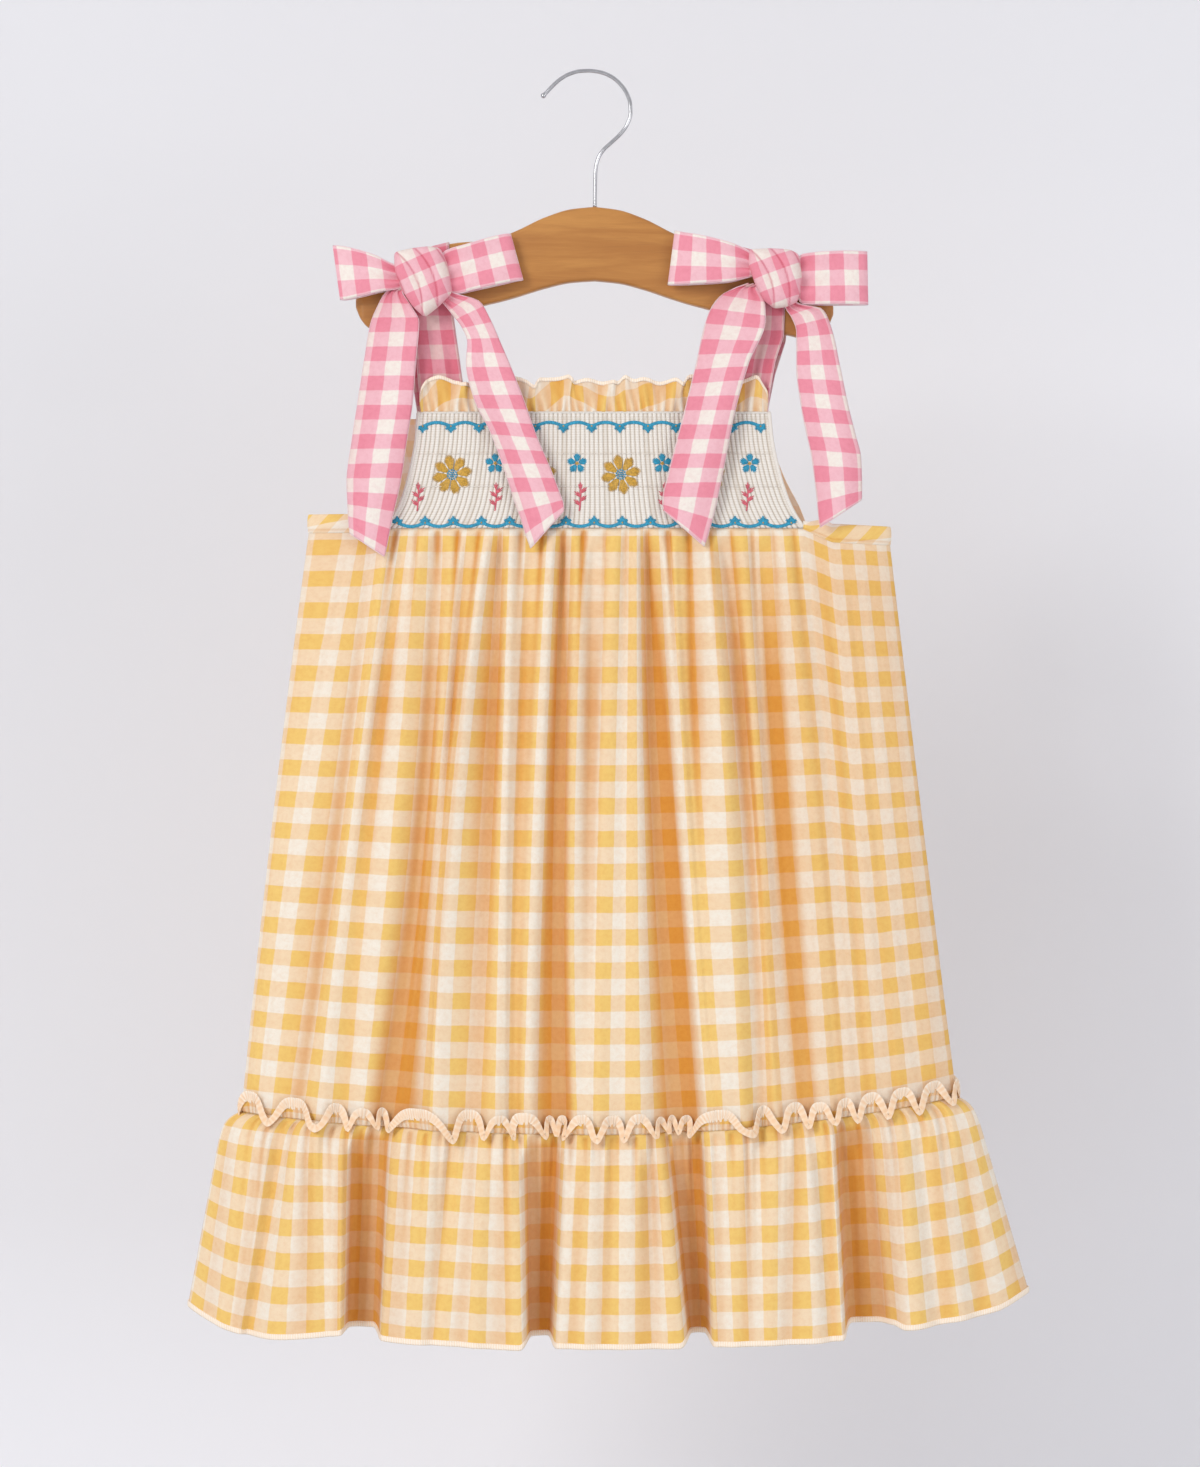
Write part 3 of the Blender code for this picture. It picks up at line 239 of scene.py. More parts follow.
# each row: top edge (x, z), lower edge (x, z), depth; out along the front of the loop
LOOPS = {
    "bow_loop_outer_left": (
        (-123.8, -122.5, -120.3, -137.5, -16), (-133.8, -117.5, -131.2, -139.4, -18.5),
        (-147.5, -113.1, -143.8, -142.5, -18), (-158.1, -110.9, -153.8, -144.4, -15.5),
        (-161.2, -110.6, -156.6, -144.4, -12.5),
    ),
    "bow_loop_inner_left": (
        (-90, -114.4, -84.1, -140.6, -16.5), (-77.5, -110.6, -71.2, -138.1, -19.5),
        (-63.1, -106.2, -55.6, -134.7, -18.5), (-51.9, -103.4, -44.1, -132.2, -15.5),
        (-49.1, -103.1, -41.2, -131.9, -12.5),
    ),
    "bow_loop_inner_right": (
        (99.1, -113.8, 99.1, -130.6, -16), (86.9, -108.8, 88.1, -133.1, -19),
        (69.4, -104.4, 68.8, -134.4, -18.5), (56.2, -101.9, 52.2, -135, -15.5),
        (53.8, -101.2, 49.4, -135, -12.5),
    ),
    "bow_loop_outer_right": (
        (134.7, -116.2, 134.7, -146.9, -16), (147.5, -115, 148.1, -147.5, -19),
        (161.9, -114.4, 163.1, -147.5, -18.5), (172.5, -114.4, 173.1, -147.5, -15.5),
        (175, -114.4, 175.6, -147.5, -12.5),
    ),
}
# the loop's way back lies on the same lines at these depths
LOOP_BACK_DEPTHS = (-9.8, -8.6, -8.6, -9)
# x, z round each knot
KNOTS = {
    "bow_knot_left": (
        (-122.5, -115), (-111.9, -112.5), (-100.6, -111.2), (-93.1, -112.5), (-88.8, -122.5),
        (-85.6, -140), (-93.1, -148.1), (-103.1, -156.2), (-110.6, -149.4), (-116.9, -140),
        (-121.9, -127.5),
    ),
    "bow_knot_right": (
        (100.6, -113.1), (113.1, -112.5), (125.6, -113.1), (131.9, -116.2), (133.8, -130.6),
        (131.2, -146.2), (124.4, -149.4), (116.2, -150.6), (109.4, -145), (103.8, -133.8),
        (100, -122.5),
    ),
}


# Numbers and curves


def smooth_interp(x, xs, ys):
    """A curve through the table's points that doesn't overshoot between them."""
    x, xs, ys = (np.asarray(values, float) for values in (x, xs, ys))
    h = np.diff(xs)
    d = np.diff(ys) / h
    m = np.concatenate([d[:1], np.zeros(len(xs) - 2), d[-1:]])
    for i in range(1, len(xs) - 1):
        if d[i - 1] * d[i] > 0:
            w1 = 2 * h[i] + h[i - 1]
            w2 = h[i] + 2 * h[i - 1]
            m[i] = (w1 + w2) / (w1 / d[i - 1] + w2 / d[i])
    k = np.clip(np.searchsorted(xs, x) - 1, 0, len(xs) - 2)
    t = np.clip((x - xs[k]) / h[k], 0.0, 1.0)
    a = ys[k] * (1 + 2 * t) * (1 - t) ** 2
    b = m[k] * h[k] * t * (1 - t) ** 2
    c = ys[k + 1] * t * t * (3 - 2 * t)
    e = m[k + 1] * h[k] * t * t * (t - 1)
    return a + b + c + e


def columns_at(table, x, *columns):
    """The table's named columns, smoothly filled in against its first one."""
    table = np.asarray(table, float)
    return [smooth_interp(x, table[:, 0], table[:, k]) for k in columns]


def three_heights(top, middle, bottom, t):
    return top * (1 - t) * (1 - 2 * t) + middle * 4 * t * (1 - t) + bottom * t * (2 * t - 1)


def ease(value):
    value = np.clip(value, 0.0, 1.0)
    return value * value * (3 - 2 * value)


def body_profile(x, left, right):
    """The body's rounding: 1 at the middle, 0 at the sides."""
    reach = np.clip(np.abs((x - (left + right) / 2) / ((right - left) / 2)), 0.0, 1.0)
    return np.sqrt(np.maximum(0.0, 1.0 - reach ** 2.6))


def body_depth(z):
    return np.interp(z, BODY_DEPTH_Z, BODY_DEPTH)


def body_y(x, z):
    """Distance of the cloth from the middle plane at the bodice."""
    return body_depth(z) * body_profile(x, SIDE_LEFT, SIDE_RIGHT)


def skirt_top_z(x):
    heights = (-290.3, SKIRT_TOP_Z, SKIRT_TOP_Z, -296.5, -298.0)
    return np.interp(x, (-140, BODICE_LEFT, BODICE_RIGHT, 153, SIDE_RIGHT), heights)


def seam_z(x):
    """Height of the flounce's seam, which rises towards both sides."""
    x = np.asarray(x, float)
    rise = np.where(x < 0, 12.4, 22.0)
    end = np.where(x < 0, SKIRT_FOLDS[0][2], SKIRT_FOLDS[-1][2])
    return FLOUNCE_SEAM_Z + rise * (x / end) ** 2


def end_dense(left, right, count):
    """Positions between two side seams, closer together near each seam."""
    near = np.array([0.0, 0.0006, 0.0022, 0.005, 0.009, 0.0145, 0.022])
    share = np.concatenate([near, np.linspace(0.03, 0.97, count), 1 - near[::-1]])
    return left + (right - left) * share


def lengths_along(points):
    steps = np.linalg.norm(np.diff(points, axis=0), axis=1)
    return np.concatenate([[0.0], np.cumsum(steps)])


def unit(vectors):
    return vectors / np.linalg.norm(vectors, axis=-1, keepdims=True)


def turns(share, count):
    """Angle after a share of the way, where the whole way makes this many turns."""
    return share * 2 * np.pi * count


# Meshes


def link(thing):
    bpy.context.scene.collection.objects.link(thing)
    return thing


def grid_normals(grid):
    normals = np.cross(np.gradient(grid, axis=0), np.gradient(grid, axis=1))
    return normals / np.maximum(np.linalg.norm(normals, axis=2, keepdims=True), 1e-9)


def plan_normals(line):
    """Level normals of a line that runs counter-clockwise seen from above."""
    step = np.gradient(line, axis=0)
    return unit(np.stack([step[:, 1], -step[:, 0], np.zeros(len(step))], axis=1))


def uv_grid(across, down, period=1.0):
    return np.stack(np.broadcast_arrays(across / period, down / period), axis=2)


def add_mesh(name, points, faces, flat_faces, material, uv=None, painted_shade=None):
    """A piece from points and faces; its last flat_faces faces are shaded flat."""
    mesh = bpy.data.meshes.new(name)
    mesh.from_pydata((np.asarray(points) * MM).tolist(), [], faces)
    smooth = np.ones(len(faces), bool)
    smooth[len(faces) - flat_faces:] = False
    mesh.polygons.foreach_set("use_smooth", smooth)
    if uv is not None:
        layer = mesh.uv_layers.new(name="cloth")
        corner = np.empty(len(mesh.loops), np.int32)
        mesh.loops.foreach_get("vertex_index", corner)
        layer.data.foreach_set("uv", np.asarray(uv, np.float32).reshape(-1, 2)[corner].ravel())
    # painted shade: how far each point's colour is darkened, standing in for shade in folds,
    # creases and gathers
    if painted_shade is not None:
        attribute = mesh.attributes.new("painted_shade", "FLOAT", "POINT")
        attribute.data.foreach_set("value", np.asarray(painted_shade, np.float32).ravel())
    mesh.materials.append(material)
    return link(bpy.data.objects.new(name, mesh))


def grid_faces(rows, columns, start, turned):
    i, j = np.meshgrid(np.arange(rows - 1), np.arange(columns - 1), indexing="ij")
    a = (start + i * columns + j).ravel()
    quads = np.stack([a, a + 1, a + columns + 1, a + columns], axis=1)
    return quads[:, ::-1] if turned else quads


def tube_faces(rows, wrap, capped=True):
    """Faces of rings joined one to the next, and the two ends."""
    i, j = np.meshgrid(np.arange(rows - 1), np.arange(wrap), indexing="ij")
    a = (i * wrap + j).ravel()
    b = (i * wrap + (j + 1) % wrap).ravel()
    faces = np.stack([a, b, b + wrap, a + wrap], axis=1).tolist()
    if capped:
        faces.append(list(range(wrap))[::-1])
        faces.append([(rows - 1) * wrap + k for k in range(wrap)])
    return faces


def tube_points(line, first, second, radii, wrap):
    """Rings round a line, in the plane of the two cross directions."""
    angles = np.linspace(0, 2 * np.pi, wrap, endpoint=False)[None, :, None]
    ring = np.cos(angles) * first[:, None] + np.sin(angles) * second[:, None]
    return (line[:, None] + ring * radii[:, None, None]).reshape(-1, 3)


def add_cloth(name, outer, wall, material, uv, painted_shade=None, outward=1.0, painted_lit_inside=None):
    """A thin shell; wall is its thickness or its inner grid. The rims close it."""
    outer = np.asarray(outer, float)
    rows, columns = outer.shape[:2]
    inner = outer - outward * wall * grid_normals(outer) if np.isscalar(wall) else np.asarray(wall)
    points = np.concatenate([outer.reshape(-1, 3), inner.reshape(-1, 3)])
    count = rows * columns
    top = np.arange(columns - 1)
    bottom = count - columns + top
    left = np.arange(rows - 1) * columns
    right = left + columns - 1
    edges = ((top + 1, top), (bottom, bottom + 1), (left, left + columns), (right + columns, right))
    rims = np.concatenate([np.stack([a, b, b + count, a + count], axis=1) for a, b in edges])
    turned = outward > 0
    if turned:
        rims = rims[:, ::-1]
    walls = [grid_faces(rows, columns, 0, turned), grid_faces(rows, columns, count, not turned)]
    faces = np.concatenate([*walls, rims]).tolist()
    uv = np.concatenate([uv.reshape(-1, 2)] * 2)
    # painted shade per point, the same on both faces
    if painted_shade is not None:
        painted_shade = np.concatenate([painted_shade.ravel()] * 2)
    thing = add_mesh(name, points, faces, len(rims), material, uv, painted_shade)
    # painted light: the inner faces can take a lighter, lit copy of the material
    if painted_lit_inside is not None:
        thing.data.materials.append(painted_lit_inside)
        for polygon in thing.data.polygons[len(walls[0]):2 * len(walls[0])]:
            polygon.material_index = 1
    return thing


def declare(thing, nodes):
    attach(thing, "root")
    if nodes:
        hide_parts(*nodes)
    return thing


# Materials


class Shader:
    """Short names for the nodes of one material."""

    def __init__(self, name):
        self.material = bpy.data.materials.new(name)
        self.material.use_nodes = True
        self.tree = self.material.node_tree
        self.surface = self.tree.nodes["Principled BSDF"]
        self.surface.inputs["Specular IOR Level"].default_value = 0.2

    def put(self, socket, value):
        if isinstance(value, bpy.types.NodeSocket):
            self.tree.links.new(value, socket)
        else:
            socket.default_value = value

    def node(self, kind, **inputs):
        made = self.tree.nodes.new("ShaderNode" + kind)
        for key, value in inputs.items():
            self.put(made.inputs[key], value)
        return made

    def place(self):
        return self.node("TexCoord").outputs["Object"]

    def cloth_uv(self):
        source = self.node("UVMap")
        source.uv_map = "cloth"
        return source.outputs[0]

    def split(self, vector):
        return self.node("SeparateXYZ", Vector=vector).outputs

    def painted_shade(self):
        # reads the painted shade stored with the mesh's points
        source = self.node("Attribute")
        source.attribute_name = "painted_shade"
        return source.outputs["Fac"]

    def noise(self, vector, **settings):
        return self.node("TexNoise", Vector=vector, **settings).outputs["Fac"]

    def wave(self, vector, direction, **settings):
        made = self.node("TexWave", Vector=vector, Scale=1.0, **settings)
        made.bands_direction = direction
        return made.outputs["Fac"]

    def stretched(self, vector, *scale):
        return self.node("Mapping", Vector=vector, Scale=scale).outputs[0]

    def math(self, operation, *values):
        made = self.node("Math")
        made.operation = operation
        for socket, value in zip(made.inputs, values):
            self.put(socket, value)
        return made.outputs[0]

    def ramp(self, value, low, high, out_low=0.0, out_high=1.0):
        made = self.node("MapRange")
        made.interpolation_type = "SMOOTHSTEP"
        names = ("Value", "From Min", "From Max", "To Min", "To Max")
        for key, v in zip(names, (value, low, high, out_low, out_high)):
            self.put(made.inputs[key], v)
        return made.outputs["Result"]

    def mix(self, factor, first, second, blend="MIX"):
        made = self.node("Mix")
        made.data_type = "RGBA"
        made.blend_type = blend
        self.put(made.inputs["Factor"], factor)
        for socket, color in zip(made.inputs[6:8], (first, second)):
            self.put(socket, (*color, 1.0) if isinstance(color, tuple) else color)
        return made.outputs[2]

    def shade(self, color, tint, factor):
        """The colour, multiplied by a tint as far as the factor says."""
        return self.mix(factor, color, tint, "MULTIPLY")

    def look(self, color, roughness, **settings):
        """The surface's colour, roughness and whatever else isn't the shader's default."""
        self.put(self.surface.inputs["Base Color"], color)
        self.put(self.surface.inputs["Roughness"], roughness)
        for key, value in settings.items():
            self.surface.inputs[key.replace("_", " ")].default_value = value

    def bump(self, height, strength, distance):
        made = self.node("Bump", Strength=strength, Distance=distance, Height=height)
        self.put(self.surface.inputs["Normal"], made.outputs["Normal"])


def linear(*color):
    """Colours are read on a screen's scale; the shader wants them linear."""
    return tuple(c / 12.92 if c <= 0.04045 else ((c + 0.055) / 1.055) ** 2.4 for c in color)


def gingham_material(name, white, half_warp, half_weft, full, texture_and_shade_tint):
    """Woven check: coloured stripes both ways, with the threads seen close to."""
    s = Shader(name)
    uv = s.cloth_uv()
    u, v = s.split(uv)[:2]
    shift = s.math("MULTIPLY", s.math("SUBTRACT", s.noise(uv, Scale=2.3, Detail=2.0), 0.5), 0.05)
    stripes = []
    for coordinate in (u, v):
        tri = s.math("MULTIPLY", s.math("PINGPONG", s.math("ADD", coordinate, shift), 0.5), 2.0)
        stripes.append(s.ramp(tri, 0.47, 0.53))
    warp, weft = stripes
    top = s.mix(warp, linear(*white), linear(*half_warp))
    low = s.mix(warp, linear(*half_weft), linear(*full))
    threads_u = s.wave(s.stretched(uv, 15.0, 0.8, 1.0), "X", Distortion=0.4)
    threads_v = s.wave(s.stretched(uv, 0.8, 15.0, 1.0), "Y", Distortion=0.4)
    weave = s.math("ADD", threads_u, threads_v)
    color = s.shade(s.mix(weft, top, low), (0.55, 0.42, 0.30), s.ramp(weave, 0.0, 2.0, 0.0, 0.13))
    slub = s.noise(uv, Scale=6.0, Detail=5.0, Roughness=0.7)
    color = s.shade(color, linear(*texture_and_shade_tint), s.ramp(slub, 0.35, 0.75, 0.0, 0.22))
    # painted shade: the stored per-point amount darkens the colour towards the shade tint in folds
    # and creases
    color = s.shade(color, linear(*texture_and_shade_tint), s.painted_shade())
    s.look(color, 0.92, Sheen_Weight=0.12, Sheen_Roughness=0.5)
    s.bump(s.math("ADD", weave, s.math("MULTIPLY", slub, 1.5)), strength=0.22, distance=0.0005)
    return s.material


def plain_cloth_material(name, color, texture_and_shade_tint, thread_scale, direction):
    """Thread cloth of one colour; ridges run across uv u or v."""
    s = Shader(name)
    uv = s.cloth_uv()
    scale = (thread_scale, 1.0, 1.0) if direction == "X" else (1.0, thread_scale, 1.0)
    ridges = s.wave(s.stretched(uv, *scale), direction, Distortion=1.2, Detail=2.0)
    speck = s.noise(uv, Scale=14.0, Detail=4.0)
    tone = s.shade(linear(*color), linear(*texture_and_shade_tint), s.ramp(ridges, 0.0, 1.0, 0.45, 0.0))
    # painted shade: the stored per-point amount darkens the colour in folds and hollows
    s.look(s.shade(tone, linear(*texture_and_shade_tint), s.painted_shade()), 0.9, Sheen_Weight=0.1)
    s.bump(s.math("ADD", ridges, s.math("MULTIPLY", speck, 0.7)), strength=0.5, distance=0.0004)
    return s.material


def thread_material(name, *color):
    """Lustrous embroidery thread."""
    s = Shader(name)
    speck = s.noise(s.place(), Scale=900.0, Detail=3.0)
    dark = tuple(c * 0.62 for c in linear(*color))
    tone = s.mix(s.ramp(speck, 0.3, 0.7), dark, linear(*color))
    s.look(tone, 0.45, Sheen_Weight=0.3, Specular_IOR_Level=0.45)
    s.bump(speck, strength=0.3, distance=0.0003)
    return s.material


def wood_material():
    s = Shader("hanger_wood_look")
    rings = s.noise(s.stretched(s.place(), 9.0, 60.0, 90.0), Scale=1.0, Detail=7.0, Roughness=0.62,
                    Distortion=0.6)
    pores = s.noise(s.stretched(s.place(), 40.0, 500.0, 900.0), Scale=1.0, Detail=3.0)
    color = s.mix(s.ramp(rings, 0.32, 0.68), linear(0.68, 0.445, 0.205), linear(0.76, 0.53, 0.265))
    color = s.mix(s.ramp(pores, 0.55, 0.75, 0.0, 0.3), color, linear(0.58, 0.38, 0.20))
    s.look(color, 0.42, Specular_IOR_Level=0.4, Coat_Weight=0.15, Coat_Roughness=0.35)
    s.bump(pores, strength=0.12, distance=0.0003)
    return s.material


def chrome_material():
    s = Shader("hook_chrome_look")
    speck = s.noise(s.place(), Scale=300.0, Detail=3.0)
    tone = s.mix(speck, (0.40, 0.40, 0.42), (0.58, 0.58, 0.60))
    s.look(tone, s.ramp(speck, 0.3, 0.7, 0.12, 0.24), Metallic=1.0)
    return s.material


def backdrop_material(name, color, wall):
    """A plain pale surface; the wall gets painted light, darker towards the upper left, that evens
    out its brightness, and it is clear from behind.
    """
    s = Shader(name)
    place = s.place()
    cloud = s.noise(place, Scale=1.2, Detail=2.0)
    darker = linear(*(c * 0.97 for c in color))
    tone = s.mix(s.ramp(cloud, 0.3, 0.7, 0.0, 0.25), linear(*color), darker)
    if wall:
        x, _, z = s.split(place)
        # painted light: a brightness ramp, darker towards the upper left, evens out the wall
        slope = s.math("SUBTRACT", s.math("MULTIPLY", x, 0.35), z)
        painted_light_ramp = s.mix(s.ramp(slope, -0.35, 1.20), linear(0.935, 0.935, 0.935), (1.0, 1.0, 1.0))
        tone = s.shade(tone, painted_light_ramp, 1.0)
        both = s.node("MixShader")
        shaders = (s.node("NewGeometry").outputs["Backfacing"], s.surface.outputs[0],
                   s.node("BsdfTransparent").outputs[0])
        for socket, output in zip(both.inputs, shaders):
            s.put(socket, output)
        s.put(s.tree.nodes["Material Output"].inputs["Surface"], both.outputs[0])
    s.look(tone, 0.95)
    return s.material


YELLOW = gingham_material(
    "yellow_gingham_look", white=(0.965, 0.935, 0.880), half_warp=(0.962, 0.872, 0.745),
    half_weft=(0.960, 0.858, 0.715), full=(0.955, 0.805, 0.470), texture_and_shade_tint=(0.910, 0.742, 0.550))
# painted light: a lighter, lit copy of the yellow gingham for the inside faces of the back bodice
PAINTED_LIT_YELLOW = gingham_material(
    "painted_lit_gingham_look", white=(0.985, 0.955, 0.920), half_warp=(0.980, 0.905, 0.810),
    half_weft=(0.980, 0.900, 0.800), full=(0.970, 0.860, 0.640), texture_and_shade_tint=(0.960, 0.840, 0.700))
PINK = gingham_material(
    "pink_gingham_look", white=(0.965, 0.940, 0.905), half_warp=(0.962, 0.775, 0.810),
    half_weft=(0.962, 0.760, 0.800), full=(0.945, 0.600, 0.670), texture_and_shade_tint=(0.890, 0.670, 0.715))
# painted light: a faint glow (emission) stands in for light coming through the cloth on the inside
# of the back bodice
painted_glow_inputs = PAINTED_LIT_YELLOW.node_tree.nodes["Principled BSDF"].inputs
painted_glow_inputs["Emission Color"].default_value = (1.0, 0.80, 0.62, 1.0)
painted_glow_inputs["Emission Strength"].default_value = 0.16
SMOCKED = plain_cloth_material(
    "smocked_white_look", color=(0.975, 0.96, 0.935), texture_and_shade_tint=(0.80, 0.75, 0.69),
    thread_scale=3.0, direction="Y")
EDGE = plain_cloth_material(
    "overlock_look", color=(0.992, 0.945, 0.880), texture_and_shade_tint=(0.972, 0.885, 0.795),
    thread_scale=2.0, direction="X")
RIBBON_EDGE = plain_cloth_material(
    "ribbon_edge_look", color=(0.980, 0.885, 0.905), texture_and_shade_tint=(0.95, 0.78, 0.82),
    thread_scale=9.0, direction="X")
TEAL = thread_material("teal_thread", 0.13, 0.62, 0.77)
GOLD = thread_material("gold_thread", 0.85, 0.66, 0.24)
CORAL = thread_material("coral_thread", 0.90, 0.42, 0.48)
CREAM = thread_material("cream_thread", 0.97, 0.94, 0.90)
WOOD = wood_material()
CHROME = chrome_material()


# Skirt panels


def crease_shade(x, t):
    """Long creases of the front: a crisp line with a soft shadow to one side of it."""
    shadow_width, line_width = 8.0, 3.0
    shade = np.zeros_like(x)
    strength_along = ease(t / 0.08) * (1.0 - 0.6 * ease((t - 0.65) / 0.35))
    for *line, dark_side, strength in SKIRT_CREASES:
        away = (x - smooth_interp(t, CREASE_HEIGHTS, line)) * dark_side
        soft = np.exp(-np.clip(away, 0, None) / shadow_width)
        shade += strength * strength_along * soft * ease((away + line_width / 2) / line_width)
    return shade


def side_shade(x, t):
    """The front turns a little from the light to the right of its last crease."""
    darkest, soft_width = 0.2, 20.0
    line = smooth_interp(t, CREASE_HEIGHTS, SKIRT_CREASES[-1][:3])
    return darkest * ease((x - line) / soft_width) * ease(t / 0.1)


def skirt_depth(table, u, t):
    """Depth of the folds: the table's four heights, blended down the panel."""
    deepest, crispness = 8.0, 1.15
    depths = np.array(columns_at(table, u, 3, 4, 5, 6))
    blend = smooth_interp(t, SKIRT_DEPTH_HEIGHTS, (0, 1, 2, 3))
    low = np.clip(np.floor(blend).astype(int), 0, 2)
    part = blend - low
    depth = depths[low[:, 0]] * (1 - part) + depths[low[:, 0] + 1] * part
    return deepest * np.tanh(crispness * depth / deepest) / np.tanh(crispness) * ease(t / 0.05)


def panel_points(x, y, z, side):
    """Grid of a front or back panel, with its ends in the middle plane."""
    y[:, [0, -1]] = 0.0
    return np.stack([x, side * np.maximum(y, 0.0), z], axis=2)


def cloth_lengths(points, row, lift=0.0):
    """Cloth coordinates of a panel, measured along one of its rows and down its middle."""
    across = lengths_along(points[row])[None]
    down = lengths_along(points[:, points.shape[1] // 2])[:, None]
    return uv_grid(across / CHECK_PERIOD, down / CHECK_PERIOD + lift)


def skirt_panel(folds, side, gathers, count, rows):
    """Outside points, cloth coordinates and painted fold shade of one skirt panel."""
    table = np.array(folds)
    u = end_dense(SIDE_LEFT, SIDE_RIGHT, count)
    if side == BACK:
        u = u[::-1]
    t = np.concatenate([np.linspace(0, 0.2, rows // 3, endpoint=False),
                        np.linspace(0.2, 1.0, rows - rows // 3)])[:, None]
    middle, bottom = columns_at(table, u, 1, 2)
    x = three_heights(u, middle, bottom, t)
    left, right = (three_heights(*table[end, :3], t) for end in (0, -1))
    depth = skirt_depth(table, u, t)
    marks, heights, fades = gathers
    fade = smooth_interp(u, marks, fades)
    tallest = np.abs(heights).max()
    gather = smooth_interp(u, marks, heights) / tallest
    gather = tallest * (1 - 2 * ((1 - np.clip(gather, -1, 1)) / 2) ** 2.4)
    within = np.abs(ease((u - marks[1]) / 10) * ease((marks[-2] - u) / 10))
    gather = gather * body_profile(u, SIDE_LEFT, SIDE_RIGHT) * within
    pleat = gather * ease(t / 0.012) * np.exp(-t / fade)
    streaks = 0.32 * np.sin(u * 0.42 + 1.7 * np.sin(t * 5.0 + u * 0.02))
    streaks += 0.22 * np.sin(u * 0.95 + 2.2 * np.sin(t * 3.1 + 1.0))
    crease = crease_shade(x, t) if side == FRONT else np.zeros_like(x)
    relief = depth + pleat + streaks * ease(t / 0.1) - 1.6 * crease
    top = skirt_top_z(u)
    z = top + t * (seam_z(bottom) - top)
    round_off = body_profile(x, left, right)
    y = body_depth(z) * round_off + relief * np.minimum(1.0, round_off * 1.5)
    points = panel_points(x, y, z, side)
    # painted shade: darker in the fold valleys, along fine vertical fold streaks, in the gathers'
    # hollows near the top and in dark lines between the gathers
    fold_streak_shade = 0.10 * np.sin(u * 0.31 + 2.0 * np.sin(u * 0.047)) + 0.08 * np.sin(u * 0.83 + 1.0)
    tint = (1.3 - depth) / 8.5 + fold_streak_shade * ease(t / 0.1)
    tint = tint * (0.3 + 0.7 * ease(t / 0.3))
    valley = np.clip((0.5 - pleat) / 2.0, 0.0, 0.9)
    tint = np.clip(ease(tint) + valley * np.exp(-t / 0.2), 0.0, 1.0)
    lines = np.exp(-((u - marks[heights < 0][:, None]) / 1.5) ** 2).sum(axis=0)
    tint = tint + 0.55 * lines * ease(t / 0.01) * np.exp(-t / (0.6 * fade + 0.05))
    if side == FRONT:
        tint = tint + side_shade(x, t)
    return points, cloth_lengths(points, -1), np.clip(tint + crease, 0.0, 1.0)


def gather_marks(left, pitch, count, height):
    """Place, height and length of the gathers under the smocking, uneven as sewn ones are."""
    usual_fade = [0.08, 0.08]
    marks = left + pitch * np.arange(count)
    heights = [height * random.uniform(0.55, 1.35) * (-1) ** k for k in range(count)]
    fades = random.uniform(0.045, 0.16, count)
    marks = np.concatenate([[SIDE_LEFT, left - 6], marks, [marks[-1] + 6, SIDE_RIGHT]])
    heights = np.concatenate([[0, 0], heights, [0, 0]])
    return marks, heights, np.concatenate([usual_fade, fades, usual_fade])


front_gathers = gather_marks(left=BODICE_LEFT, pitch=6.575, count=41, height=2.1)
back_gathers = gather_marks(left=-125.0, pitch=11.0, count=24, height=1.2)
front_points, *front_look = skirt_panel(SKIRT_FOLDS, FRONT, front_gathers, count=300, rows=110)
back_points, *back_look = skirt_panel(BACK_FOLDS, BACK, back_gathers, count=180, rows=60)
front_skirt = add_cloth("skirt_cloth_front", front_points, SKIRT_WALL, YELLOW, *front_look)
back_skirt = add_cloth("skirt_cloth_back", back_points, SKIRT_WALL, YELLOW, *back_look)
declare(front_skirt, ["front_skirt"])
declare(back_skirt, ["back_skirt"])


# Flounce


